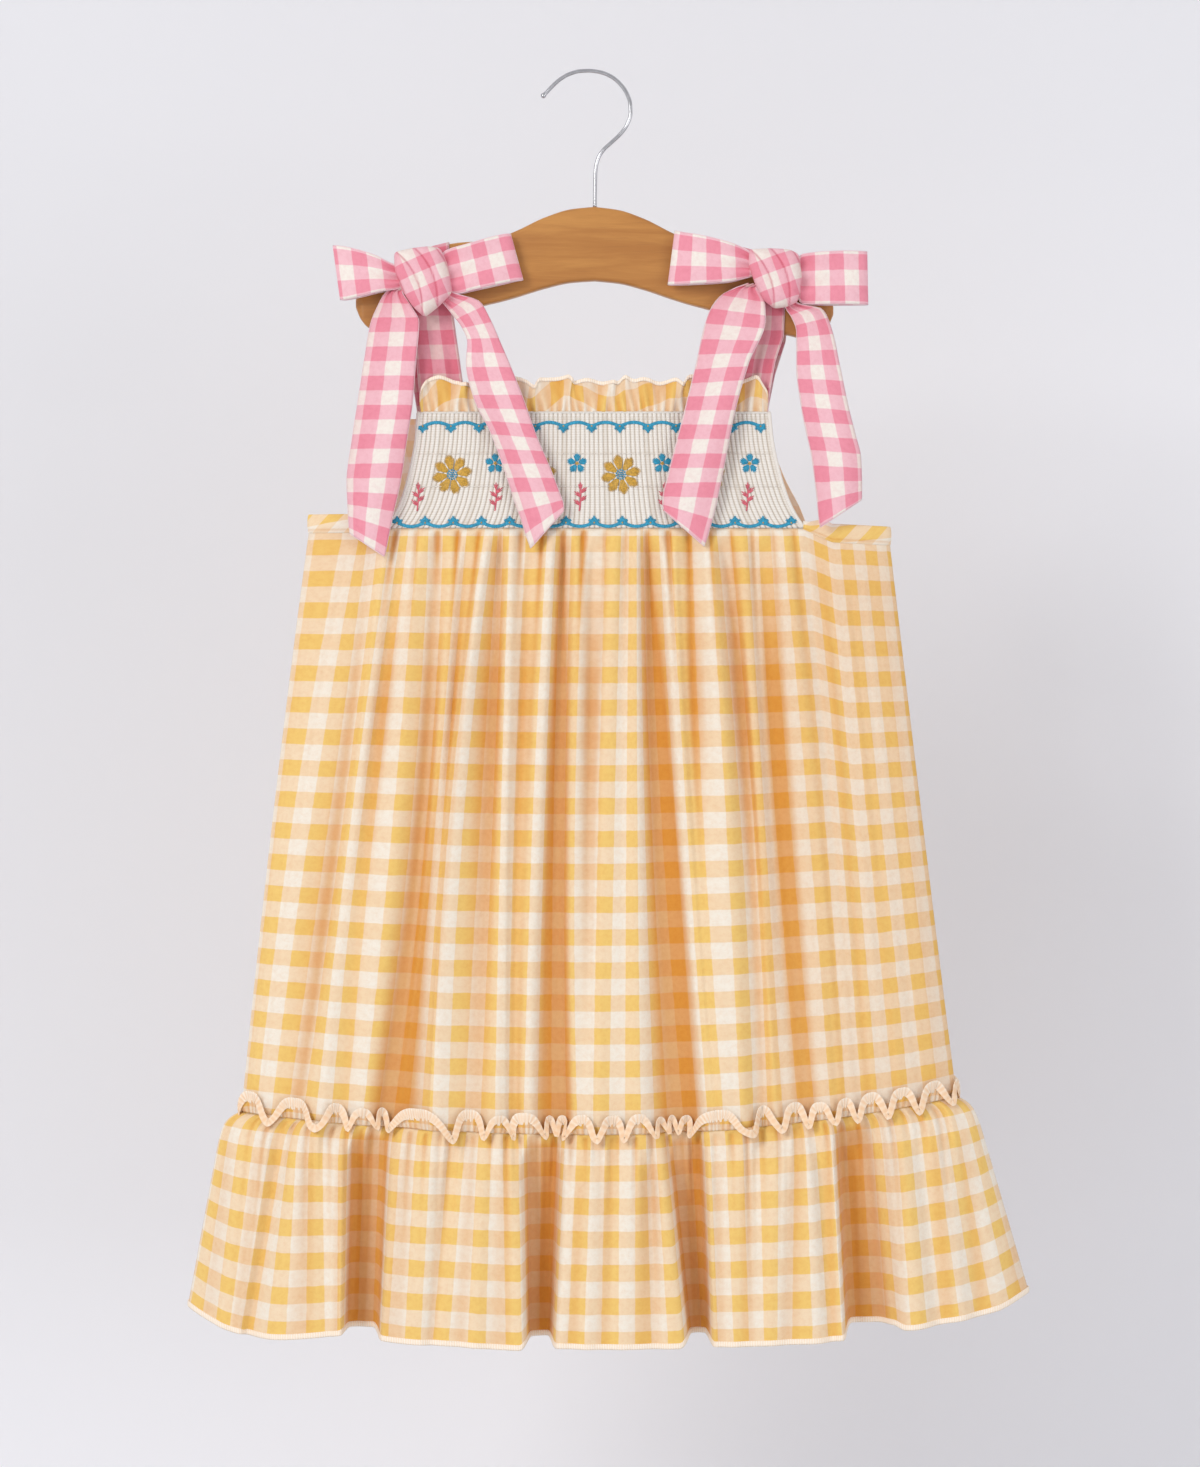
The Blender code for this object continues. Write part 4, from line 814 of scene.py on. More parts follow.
def flounce_panel(folds, side, seam, hem, count, rows):
    """Outside points, cloth coordinates and painted fold shade of one flounce, gathered onto the
    skirt.
    """
    crispness, seam_reach = 2.0, 0.22
    table = np.array(folds)
    seam = seam[np.argsort(seam[:, 0])]
    first, last = table[0, 0], table[-1, 0]
    x_top = end_dense(first, last, count)
    if side == BACK:
        x_top = x_top[::-1]
    t = np.linspace(0, 1, rows)[:, None] ** 1.15
    x_hem, depth_top, depth_hem = columns_at(table, x_top, 1, 2, 3)
    end_top = np.where(x_top < 0, first, last)
    end_start = np.where(x_top < 0, seam[0, 0], seam[-1, 0])
    pull = (end_start - end_top) * np.abs(x_top / end_top) ** 3
    x_start = x_top + pull
    x = x_top + (x_hem - x_top) * t + pull * np.exp(-t / 0.035)
    left = first + (table[0, 1] - first) * t
    right = last + (table[-1, 1] - last) * t
    top = seam_z(x_start)
    z = top + t * (columns_at(hem, x_hem, 1)[0] - top)
    at_seam = np.interp(x_start, seam[:, 0], np.abs(seam[:, 1]))
    round_off = body_profile(x, left, right)
    depth = depth_top + (depth_hem - depth_top) * t
    centre = (depth_hem.max() + depth_hem.min()) / 2
    swing = np.maximum(np.abs(depth_top - centre).max(), np.abs(depth_hem - centre).max())
    crisp = np.tanh(crispness * (depth - centre) / swing) / np.tanh(crispness)
    depth = centre * t + (1 - t) * depth_top.mean() + crisp * swing * (0.80 + 0.15 * t)
    y = body_depth(z) * round_off + depth * np.minimum(1.0, round_off * 1.3)
    y = at_seam + (y - at_seam) * ease(t / seam_reach)
    within = np.minimum(1.0, round_off * 2)
    spread = x_top + (x_hem - x_top) * t * 0.25
    gather = 1.5 * np.sin(spread * 0.62 + 1.3 * np.sin(spread * 0.13))
    gather = gather + 0.8 * np.sin(spread * 1.25 + 0.6)
    reach = 0.20 + 0.11 * np.sin(x_top * 0.21) + 0.06 * np.sin(x_top * 0.53)
    gather = gather * ease(t / 0.03) * np.exp(-t / reach) * within
    ripple = 1.25 * np.sin(spread * 0.29 + 1.3 * np.sin(x_top * 0.083) + 0.8 * t) * ease(t / 0.3)
    points = panel_points(x, y + gather + ripple * within, z, side)
    # painted shade: darker in the recesses between the flutes, in ripple hollows and in the gathers
    # below the seam
    fan = (0.05 + 0.25 * t) - crisp
    tint = ease(fan / 0.8 * ease(t / 0.1)) * (0.75 + 0.12 * t) + np.clip(-ripple / 4.0, 0.0, 0.35)
    tint = np.clip(tint + np.clip(-gather / 3.0, 0.0, 0.55), 0.0, 1.0)
    return points, cloth_lengths(points, int(rows * 0.6), 0.3), np.broadcast_to(tint, x.shape)


def edge_band(name, line, height, thickness):
    """A narrow overlocked band that wraps a cloth's cut edge."""
    profile = ((-0.35, 0.25), (-0.45, 0.9), (0.5, 1.0), (height * 0.55, 1.0), (height, 0.55),
               (height + 0.1, 0.0))
    out = plan_normals(line)
    rows = profile[::-1]
    outer = np.array([line + out * (thickness * share) + UP * rise for rise, share in rows])
    inner = np.array([line - out * (thickness * 0.8) + UP * rise for rise, _ in rows])
    uv = uv_grid(lengths_along(line)[None] / THREAD_PERIOD, np.arange(len(profile))[:, None] * 0.1)
    band = add_cloth(name, outer, inner, EDGE, uv)
    return declare(band, [])


front_flounce, *front_look = flounce_panel(
    FLOUNCE_FOLDS, FRONT, seam=front_points[-1], hem=HEM, count=420, rows=60)
back_flounce, *back_look = flounce_panel(
    BACK_FLOUNCE_FOLDS, BACK, seam=back_points[-1], hem=BACK_HEM, count=280, rows=44)
flounce_front = add_cloth("flounce_cloth_front", front_flounce, SKIRT_WALL, YELLOW, *front_look)
flounce_back = add_cloth("flounce_cloth_back", back_flounce, SKIRT_WALL, YELLOW, *back_look)
hem_front = edge_band("hem_overlock_front", front_flounce[-1], height=3.0, thickness=0.45)
hem_back = edge_band("hem_overlock_back", back_flounce[-1], height=3.0, thickness=0.45)
declare(flounce_front, ["flounce_front"])
declare(flounce_back, ["flounce_back"])


# Frilled heading over the flounce's seam


def heading(name, seam, widths, node):
    """The flounce's upper edge: a frill standing on the seam, its overlocked edge in arches."""
    length = lengths_along(seam)
    count = len(widths)
    bounds = np.concatenate([[0], np.cumsum(widths)]) / np.sum(widths, dtype=float) * length[-1]
    arches = np.diff(bounds)
    s = np.linspace(0, length[-1], count * ARCH_POINTS)
    wave = np.clip(np.searchsorted(bounds, s, side="right") - 1, 0, count - 1)
    phase = (s - bounds[wave]) / arches[wave] * 2 * np.pi
    low = (0.5 + 0.5 * np.cos(phase)) ** 2.4
    heights = np.clip(6.6 + 0.13 * arches, *ARCH_HEIGHTS) + random.uniform(-1.0, 1.0, count)
    falls = -np.clip(-2.4 + 0.26 * arches, *ARCH_FALLS) * random.uniform(0.7, 1.3, count)
    leans = random.uniform(-1.0, 1.0, count) * 0.9
    middles = (bounds[:-1] + bounds[1:]) / 2
    band_widths = 0.09 * arches + 1.7
    crest, fall, lean, half_band = (
        smooth_interp(s, middles, values) for values in (heights, falls, leans, band_widths))
    rise = crest * (1 - low) + fall * low
    along = s + lean * np.sin(phase) * arches[wave] * 0.05
    base = np.stack([np.interp(along, length, seam[:, k]) for k in range(3)], axis=1)
    for k in range(2):
        base[:, k] = np.convolve(np.pad(base[:, k], 5, mode="edge"), np.ones(11) / 11, mode="valid")
    normals = plan_normals(base)
    normals[[0, -1]] = normals[[1, -2]]
    tangent = np.stack([-normals[:, 1], normals[:, 0], np.zeros(len(s))], axis=1)
    fade = ease(np.minimum(s, length[-1] - s) / 7.0)
    out = (1.7 + 3.6 * low + 0.8 * np.sin(phase) * (1 - low)) * (0.3 + 0.7 * fade) + 0.4
    step = np.gradient(np.stack([along, rise], axis=1), axis=0)
    step[:, 1] += 1e-9
    step = unit(step)
    steep = np.abs(step[:, 1])
    half_band = np.clip(half_band, *BAND_HALF_WIDTHS) * (1.0 - 0.25 * low) * (1.12 - 0.42 * steep)
    crimp = np.sin(s * 2.1 + 1.6 * np.sin(s * 0.37))
    frill_rows = np.linspace(0, 1, 12)
    frill = []
    for q in frill_rows[::-1]:
        bulge = 0.45 * crimp * math.sin(math.pi * q) * (1 - low)
        point = base + normals * (0.55 + (out - 0.75) * q ** 0.8)[:, None]
        point += normals * bulge[:, None]
        point[:, 2] += 0.3 + (rise - 0.3) * q
        frill.append(point)
    uv = uv_grid((s / CHECK_PERIOD * 1.4)[None], (1 - frill_rows)[:, None] * 0.6)
    # painted shade on the frill: lighter and darker across its crimped pleats
    tint = np.clip(0.45 - 0.15 * frill_rows[::-1][:, None] + 0.25 * crimp, 0, 1)
    cloth = add_cloth(name + "_frill", frill, EDGING_WALL, YELLOW, uv, tint)
    outer = []
    inner = []
    for k, across in enumerate(BAND_PROFILE):
        puff = 0.12 * math.sqrt(1 - across * across) + 0.20
        ripple = 0.16 * np.sin(s * 5.2 + k * 0.9)
        tilt = 0.9 * across * (1 - low) - 0.7 * across * low
        place = base + tangent * (-step[:, 1] * across * half_band)[:, None]
        place[:, 2] += rise + step[:, 0] * across * half_band
        outer.append(place + normals * (out + puff + ripple + tilt)[:, None])
        inner.append(place + normals * (out - puff + ripple + tilt)[:, None])
    uv = uv_grid((s / THREAD_PERIOD)[None], np.arange(len(BAND_PROFILE))[:, None] * 0.12)
    # painted shade on the edge band: darker in its middle, in the arches' dips and on their steep
    # flanks
    shade = np.array(BAND_SHADE)[:, None] + (0.30 * low + 0.38 * steep ** 2)
    shade = np.clip(shade + 0.20 * np.sin(s * 3.4) * (1 - low), 0, 1)
    band = add_cloth(name + "_edge", outer, inner, EDGE, uv, shade)
    declare(band, [])
    declare(cloth, [node])


heading("heading_front", front_points[-1], WAVE_WIDTHS_LEFT + WAVE_WIDTHS_RIGHT,
        "flounce_heading_front")
heading("heading_back", back_points[-1], WAVE_WIDTHS_RIGHT + WAVE_WIDTHS_LEFT[:7],
        "flounce_heading_back")


# Bodice


def bodice_grid(z, share, table, reverse=False):
    """x and z of a bodice panel's points, between its two edges."""
    left, right = columns_at(table[::-1], z, 1, 2)
    if reverse:
        left, right = right, left
    return left[:, None] + (right - left)[:, None] * share, z[:, None]


def bodice_walls(x, z, raised, side):
    """Outer and inner grid of a bodice panel at the front or the back."""
    depth = body_y(x, z)
    tall = np.broadcast_to(z, x.shape)
    return [np.stack([x, side * y, tall], axis=2) for y in (depth + raised, depth - BODICE_WALL)]


def smocked_front():
    share = np.linspace(0, 1, RIB_COUNT * 8 + 1)
    x, z = bodice_grid(np.linspace(SMOCKING_TOP_Z, SKIRT_TOP_Z, 38), share, FRONT_BODICE_ROWS)
    rib = np.abs(np.sin(np.pi * RIB_COUNT * share)) ** 0.55
    number = np.floor(RIB_COUNT * share)
    height = RIB_HEIGHT * (0.82 + 0.14 * np.sin(number * 2.1) + 0.10 * np.sin(number * 0.7 + 1.0))
    pinch = np.exp(-((z - CABLE_ROWS) / 0.9) ** 2).max(axis=1, keepdims=True)
    raised = np.maximum(rib * height * (1.0 - 0.30 * pinch), 0.25 * pinch)
    outer, inner = bodice_walls(x, z, raised, FRONT)
    # painted shade: darker in the hollows between the ribs
    tint = ease(1.05 - raised / RIB_HEIGHT * 1.35) * 0.85
    uv = uv_grid(x - x[:, :1], -z, THREAD_PERIOD)
    return add_cloth("smocked_panel", outer, inner, SMOCKED, uv, tint)


def shirred_back():
    share = np.linspace(0, 1, 260)
    x, z = bodice_grid(np.linspace(BACK_TOP_Z, SKIRT_TOP_Z, 50), share, BACK_BODICE_ROWS, True)
    elastic = 0.5 + 0.5 * np.cos((z - BACK_TOP_Z) * 2 * np.pi / ELASTIC_PITCH)
    gather = 0.75 * (0.5 + 0.5 * np.sin(turns(share, 34) + 1.2 * np.sin(share * 23)))
    puff = gather * (0.35 + 0.65 * (1 - elastic))
    outer, inner = bodice_walls(x, z, puff, BACK)
    uv = uv_grid((x[:, :1] - x) / CHECK_PERIOD * 1.3, -z / CHECK_PERIOD)
    # painted shade: darker in the gathers' hollows and towards the right armhole, where the bodice
    # lies in shade
    tint = 0.3 * (1 - puff / 0.75) + 0.55 * ease((x - 96.0) / 26.0)
    # the inside faces get the painted lit copy of the gingham
    return add_cloth("back_bodice_cloth", outer, inner, YELLOW, uv, tint, painted_lit_inside=PAINTED_LIT_YELLOW)


declare(smocked_front(), ["front_bodice"])
declare(shirred_back(), ["back_bodice"])


def neck_frill():
    """The gathered edge above the smocking: fine pleats at its foot, soft waves at its top."""
    left, right, foot, crest = -106.0, 112.0, -215.0, -194.7
    corner, sway = 9.0, 3.0
    x = np.linspace(left, right, 540)
    q = np.linspace(0, 1, 22)[:, None]
    share = np.linspace(0, 1, len(x))
    end = np.minimum(1.0, np.minimum(x - left, right - x) / corner)
    drop = (1.0 - np.sqrt(end * (2 - end))) * corner
    turn = turns(share, 7.0) + 1.3 * np.sin(share * 15.0) + 0.6 + 0.9 * (1 - q)
    big = np.sin(turn + 0.75 * np.sin(turn))
    mid = np.sin(turns(share, 15.0) + 1.7 * np.sin(share * 11.0) + 1.0 + 1.5 * (1 - q))
    fine = np.sin(turns(share, 40.0) + 2.0 * np.sin(share * 29.0) + 2.2 * q)
    near_foot = np.exp(-q / 0.38)
    top = crest + 1.9 * np.sin(turns(share, 5.2) + 0.8) * 0.8 + mid - 1.7 * np.maximum(big, -0.4)
    z = foot + (top - drop - foot) * q
    out = 1.2 + 1.7 * q ** 0.8 * (1 + big) + 0.8 * q * mid + 0.75 * fine * near_foot + 0.15 * fine
    y = body_y(x, foot) + np.clip(out - 0.9, 0.05, 5.0)
    grid = np.stack([x + sway * q * np.cos(turn) * end, -y, z], axis=2)[::-1]
    across = x * 1.45 / CHECK_PERIOD + 0.10 * np.sin(turn)
    uv = uv_grid(across, (1 - q) * 0.85 + 0.08 + 0.24 * np.sin(turn * 0.5 + 1.0))
    # painted shade: darker in the hollows of the fine pleats at the foot and of the waves above
    tint = np.clip(0.30 - 0.42 * fine * near_foot - 0.30 * big * q - 0.10 * mid * q, 0, 1)
    frill = add_cloth("neck_frill", grid, FRILL_WALL, YELLOW, uv, tint[::-1])
    edge = edge_band("neck_frill_edge", grid[0] - 1.6 * UP, height=2.0, thickness=0.4)
    declare(frill, ["neck_ruffle"])


neck_frill()


def roll(name, line, radius, material, wrap=10, reference=(0.0, 1.0, 0.0)):
    """A rolled edge: a slim tube along a line of points."""
    tangent = unit(np.gradient(line, axis=0))
    side = unit(np.cross(tangent, reference))
    radii = np.full(len(line), radius)
    radii[[0, -1]] *= 0.4
    points = tube_points(line, side, np.cross(tangent, side), radii, wrap)
    uv = uv_grid(lengths_along(line)[:, None] / THREAD_PERIOD, np.arange(wrap)[None] * 0.1)
    edge = add_mesh(name, points, tube_faces(len(line), wrap), 2, material, uv)
    return declare(edge, [])


armhole_z = np.linspace(-214.5, -287.6, 60)
armholes = columns_at(FRONT_BODICE_ROWS[::-1], armhole_z, 1, 2)
for side_name, edge_x in (("left", armholes[0] - 0.3), ("right", armholes[1] + 0.3)):
    line = np.stack([edge_x, -(body_y(edge_x, armhole_z) + 0.1), armhole_z], axis=1)
    roll("armhole_roll_" + side_name, line, radius=1.25, material=SMOCKED)
top_x = np.linspace(-106.5, 112.5, 300)
top_y = -(body_y(top_x, SMOCKING_TOP_Z) + 0.35)
top_line = np.stack([top_x, top_y, np.full_like(top_x, -215.4)], axis=1)
roll("smocking_top_roll", top_line, radius=0.7, material=SMOCKED)


# Underarm bands


def underarm_band(name, node, x_front, x_side, x_back):
    """Doubled binding over the skirt's top edge, round the side from front to back."""
    height, stitch_line, end_length = 11.9, 0.16, 16.0
    share = np.linspace(0, 1, 60)
    halves = []
    for side, xs in ((FRONT, x_front + (x_side - x_front) * (1 - (1 - share) ** 2.2)),
                     (BACK, x_side + (x_back - x_side) * share ** 2.2)):
        halves.append(np.stack([xs, side * body_y(xs, SKIRT_TOP_Z), skirt_top_z(xs)], axis=1))
    line = np.concatenate([halves[0], halves[1][1:]])
    if x_side < 0:
        line = line[::-1]
    normals = plan_normals(line)
    travel = lengths_along(line)
    taper = 0.45 + 0.55 * ease(np.minimum(travel, travel[-1] - travel) / end_length)
    rows = np.linspace(0, 1, 12)
    grid = []
    for q in rows[::-1]:
        stitches = 0.35 * math.exp(-((q - stitch_line) / 0.05) ** 2)
        puff = 0.75 * math.sin(math.pi * q) ** 0.5 - stitches
        point = line + normals * (0.15 + puff)
        point[:, 2] += -0.6 + height * q * taper
        grid.append(point)
    grid = np.array(grid)
    rows = rows[:, None]
    uv = uv_grid(travel + rows * 11, travel * 0.15 + rows * 11.5, CHECK_PERIOD)
    # painted shade along the stitched groove
    tint = np.broadcast_to(0.5 * np.exp(-((rows[::-1] - stitch_line) / 0.07) ** 2), grid.shape[:2])
    band = add_cloth(name, grid, grid - normals * BINDING_WALL, YELLOW, uv, tint)
    declare(band, [node])


underarm_band("underarm_binding_left", "underarm_band_left",
              x_front=BODICE_LEFT, x_side=SIDE_LEFT, x_back=BODICE_LEFT)
underarm_band("underarm_binding_right", "underarm_band_right",
              x_front=134.6, x_side=SIDE_RIGHT, x_back=139.0)


# Ribbons


def ribbon_uv(outer, shift=0.0):
    """Cloth coordinates from the ribbon's own width, with the checks' middle moved by a shift."""
    along = lengths_along(outer[:, outer.shape[1] // 2])
    widths = np.linalg.norm(np.diff(outer, axis=1), axis=2)
    across = np.concatenate([np.zeros((len(outer), 1)), np.cumsum(widths, axis=1)], axis=1)
    share = across / np.maximum(across[:, -1:], 1e-6)
    from_middle = (share - 0.5) * RIBBON_WIDTH
    return uv_grid(from_middle / RIBBON_PERIOD + shift, along[:, None] / RIBBON_PERIOD)


def stations(rows):
    """Rows of a short table, smoothly filled in at even distances."""
    table = np.array(rows, float)
    x, z = ((table[:, k] + table[:, k + 2]) / 2 for k in (0, 1))
    travel = lengths_along(np.stack([x, z, table[:, -1]], axis=1))
    s = np.linspace(0, 1, RIBBON_ROWS) * travel[-1]
    return np.array([smooth_interp(s, travel, values) for values in table.T]).T, s


def knot_of(name):
    return "bow_knot_left" if "left" in name else "bow_knot_right"


def into_knot(row, name, reach, shrink):
    """The same cross edge moved towards its knot and narrowed, so it ends inside the wrap."""
    a, b = np.array(row[0:2], float), np.array(row[2:4], float)
    middle = (a + b) / 2
    step = np.mean(KNOTS[knot_of(name)], axis=0) - middle
    moved = middle + step / np.linalg.norm(step) * reach
    return [*(moved + (a - middle) * shrink), *(moved + (b - middle) * shrink), *row[4:]]


def ribbon_edges(name, lines, reference=(0.0, 1.0, 0.0)):
    return [roll(f"{name}_{ending}", line, RIBBON_EDGE_RADIUS, RIBBON_EDGE,
                 wrap=8, reference=reference) for ending, line in lines.items()]


def ribbon_sheet(cloth, node):
    declare(cloth, [node])


def add_tail(node, rows):
    name = node + "_ribbon"
    pinch_length = 14.0
    table, travel = stations([into_knot(rows[0], node, reach=6.0, shrink=0.8), *rows])
    x_a, z_a, x_b, z_b, y_a, y_m, y_b = table.T[:, :, None]
    share = np.linspace(0, 1, RIBBON_COLUMNS)
    near_knot = np.exp(-travel / pinch_length)[:, None]
    y = three_heights(y_a, y_m, y_b, share) - 1.1 * np.cos(turns(share, 3)) * near_knot
    y = y - 0.45 * np.sin(turns(share, 1.0) + travel[:, None] * 0.035) * (1 - near_knot)
    outer = np.stack([x_a + (x_b - x_a) * share, y, z_a + (z_b - z_a) * share], axis=2)
    # painted shade: darker near the knot and where the ribbon lies further back
    dip = y - y.min(axis=1, keepdims=True)
    tint = np.clip(0.5 * np.exp(-travel / 16.0)[:, None] + dip / 12.0, 0, 0.8)
    uv = ribbon_uv(outer, -0.13 if "left" in node else 0.06)
    cloth = add_cloth(name, outer, RIBBON_WALL, PINK, uv, tint)
    middle = outer - grid_normals(outer) * (RIBBON_WALL / 2)
    edges = ribbon_edges(name, {"edge_0": middle[2:-1, 0][::2], "edge_1": middle[2:-1, -1][::2],
                                "end": middle[-1]})
    if "inner" in node:
        edges.append(knots[knot_of(node)])
    ribbon_sheet(cloth, node)


def add_loop(node, way_out):
    name = node + "_ribbon"
    way_back = [(*row[:4], depth) for row, depth in zip(way_out[-2::-1], LOOP_BACK_DEPTHS)]
    rows = [*way_out, *way_back]
    into = {"reach": 6.5, "shrink": 0.55}
    rows = [into_knot(rows[0], node, **into), *rows, into_knot(rows[-1], node, **into)]
    table, travel = stations(rows)
    x_a, z_a, x_b, z_b, y = table.T[:, :, None]
    length = travel[-1]
    travel = travel[:, None]
    share = np.linspace(0, 1, RIBBON_COLUMNS)
    from_knot = np.minimum(travel, length - travel)
    near = np.exp(-from_knot / 11.0)
    side = np.interp(travel / length, (0.42, 0.58), (-1.0, 1.0))
    pleat = near * 1.5 * np.cos(turns(share, 2.5) + 0.4)
    sag = 0.5 * np.sin(share * np.pi * 2 + travel * 0.09) * (1 - near) * np.abs(side)
    y = y + side * (pleat - 0.2 + sag)
    outer = np.stack([x_a + (x_b - x_a) * share, y, z_a + (z_b - z_a) * share], axis=2)
    normals = grid_normals(outer)
    fifth, half = RIBBON_ROWS // 5, RIBBON_ROWS // 2
    middle = outer[fifth:-fifth].mean(axis=(0, 1))
    outward = 1.0 if np.sum(normals[half] * (outer[half] - middle)) > 0 else -1.0
    # painted shade: darker in the pleats where the loop is pinched into the knot
    near = np.exp(-from_knot / 10.0)
    tint = np.clip(0.55 * near * (1 + np.cos(turns(share, 2.5) + 3.5)) / 1.6 + 0.1 * near, 0, 1)
    cloth = add_cloth(name, outer, RIBBON_WALL, PINK, ribbon_uv(outer), tint, outward=outward)
    middle = outer - outward * normals * (RIBBON_WALL / 2)
    edges = ribbon_edges(name, {"edge_0": middle[3:-3, 0][::2], "edge_1": middle[3:-3, -1][::2]})
    ribbon_sheet(cloth, node)


def add_knot(node, outline):
    """The wrap of the bow: a rounded form with oblique folds across it."""
    outline = np.array(outline, float)
    middle = outline.mean(axis=0)
    around, rings = 120, 64
    middle_y, half_depth, fold_pitch = -16.4, 9.0, 10.5
    closed = np.concatenate([outline, outline[:1]])
    travel = lengths_along(closed)
    s = np.linspace(0, travel[-1], around, endpoint=False)
    rim = np.stack([np.interp(s, travel, closed[:, k]) for k in range(2)], axis=1)
    for _ in range(5):
        rim = (np.roll(rim, 1, axis=0) + rim * 2 + np.roll(rim, -1, axis=0)) / 4
    lean = np.array([0.92, 0.40]) if "left" in node else np.array([0.94, 0.34])
    points, painted_shade, uv = [], [], []
    for k in range(rings + 1):
        angle = math.pi * k / rings
        size = math.sin(angle) ** 0.62
        place = middle + (rim - middle) * size
        across = (place - middle) @ lean
        along = (place - middle) @ np.array([-lean[1], lean[0]])
        turn = (across + 0.012 * along ** 2) / fold_pitch + 0.42
        layer = turn - np.floor(turn)
        ridge = ease(layer / 0.16) * (1 - 0.75 * layer)
        front = ease((k / rings - 0.45) / 0.2)
        y = middle_y + half_depth * math.cos(angle)
        y = y - front * 1.7 * ridge * size - front * 0.5 * math.sin(angle)
        points.append(np.stack([place[:, 0], y, place[:, 1]], axis=1))
        # painted shade: dark lines in the folds' creases on the front, and an even shade over the
        # back half
        crease = np.exp(-((layer - 0.03) / 0.055) ** 2) + np.exp(-((layer - 1.03) / 0.055) ** 2)
        painted_shade.append(np.clip(0.95 * crease + 0.25 * layer, 0, 1) * front + 0.4 * (1 - front))
        uv.append(np.stack([across / RIBBON_PERIOD + 0.2, along / RIBBON_PERIOD + 0.1], axis=1))
    points = np.array(points).reshape(-1, 3)
    faces = tube_faces(rings + 1, around, capped=False)
    knot = add_mesh(node + "_wrap", points, faces, 0, PINK, np.array(uv), np.array(painted_shade))
    return declare(knot, [node])


knots = {node: add_knot(node, outline) for node, outline in KNOTS.items()}
for node, rows in TAILS.items():
    add_tail(node, rows)
for node, rows in LOOPS.items():
    add_loop(node, rows)


def hanger_edges(x):
    """Height of the wood's top and lower edge, for straps that lie on it."""
    table = np.array(HANGER_OUTLINE)
    reach = abs(x - HANGER_CENTRE_X)
    tilt = HANGER_TILT * (x - HANGER_CENTRE_X)
    return [np.interp(reach, table[:, 0], table[:, k]) + tilt for k in (1, 2)]


def strap(node, at_hanger, at_bodice, path_of, folded=0.0):
    """A flat tie; path_of gives share of the way, inner and outer depth, and both heights."""
    name = node + "_ribbon"
    share = np.linspace(0, 1, RIBBON_COLUMNS)
    inner = []
    outer = []
    ends = [np.interp(share, np.linspace(0, 1, 4), xs) for xs in (at_hanger, at_bodice)]
    for a, b in zip(*ends):
        y_end = body_y(b, STRAP_SEAM_Z) - BODICE_WALL - STRAP_GAP
        path = np.array(path_of(*hanger_edges(a), y_end), float)
        travel = lengths_along(np.stack([path[:, 0] * 20, path[:, 2], path[:, 4]], axis=1))
        s = np.linspace(0, travel[-1], RIBBON_ROWS)
        p = np.array([np.interp(s, travel, values) for values in path.T])
        x = a + (b - a) * p[0]
        inner.append(np.stack([x, p[1], p[3]], axis=1))
        outer.append(np.stack([x, p[2], p[4]], axis=1))
    inner, outer = (np.transpose(grid, (1, 0, 2)) for grid in (inner, outer))
    deeper = ease(np.linspace(-0.1, 1.6, RIBBON_ROWS))[:, None]
    pleat = 1.1 * np.cos(turns(share, 2.5)) * deeper * folded
    inner[:, :, 1] += pleat
    outer[:, :, 1] += pleat
    # painted shade, even over the whole strap
    tint = np.full(outer.shape[:2], STRAP_PAINTED_SHADE)
    cloth = add_cloth(name, outer, inner, PINK, ribbon_uv(outer), tint)
    middle = (outer[1:-1] + inner[1:-1]) / 2
    edges = ribbon_edges(name, {"edge_0": middle[:, 0], "edge_1": middle[:, -1]}, (1.0, 0.0, 0.0))
    ribbon_sheet(cloth, node)


def back_path(top, low, y_end):
    """From the knot over the wood's top edge, down its back and inside the back bodice."""
    near = HANGER_HALF_THICKNESS + STRAP_CLEARANCE
    far = near + RIBBON_WALL
    return (
        (0.0, -near, -far, top - 15.0, top - 15.0),
        (0.0, -near, -far, top - 2.5, top - 2.0),
        (0.0, -near + 1.2, -far + 1.5, top - 0.9, top + 0.2),
        (0.0, -near + 2.6, -far + 3.4, top + 0.33, top + 1.3),
        (0.0, near - 2.6, far - 3.4, top + 0.33, top + 1.3),
        (0.0, near - 1.2, far - 1.5, top - 0.9, top + 0.2),
        (0.0, near, far, top - 2.5, top - 2.0),
        (0.0, near, far, (top + low) / 2, (top + low) / 2),
        (0.1, near, far, low - 3.0, low - 3.0),
        (0.6, (near + y_end - RIBBON_WALL) / 2, (far + y_end) / 2, -190.0, -190.0),
        (0.95, y_end - RIBBON_WALL, y_end, -214.0, -214.0),
        (1.0, y_end - RIBBON_WALL, y_end, STRAP_END_Z, STRAP_END_Z),
    )


def front_path(_, low, y_end):
    """From behind the knot down to the smocking's inside."""
    near = HANGER_HALF_THICKNESS + STRAP_CLEARANCE
    y_end -= RIBBON_WALL
    rows = ((0.0, near, -140.0), (0.1, near, low - 2.0), (0.55, (near + y_end) / 2, -183.0),
            (0.85, y_end, -203.0), (0.93, y_end, -215.0), (1.0, y_end, STRAP_END_Z))
    return [(share, -y, -y - RIBBON_WALL, z, z) for share, y, z in rows]


strap("strap_back_left", STRAP_LEFT_X, (-108.0, -98.0, -88.0, -78.0), back_path)
strap("strap_back_right", STRAP_RIGHT_X, (83.5, 93.0, 102.5, 112.0), back_path)
strap("strap_front_left", (-112.0, -103.5, -95.0, -86.5), (-105.6, -96.2, -86.8, -77.5),
      front_path, folded=1.0)
strap("strap_front_right", (101.0, 108.5, 116.0, 123.5), (93.0, 99.2, 105.4, 111.6),
      front_path, folded=1.0)


# Hanger and hook


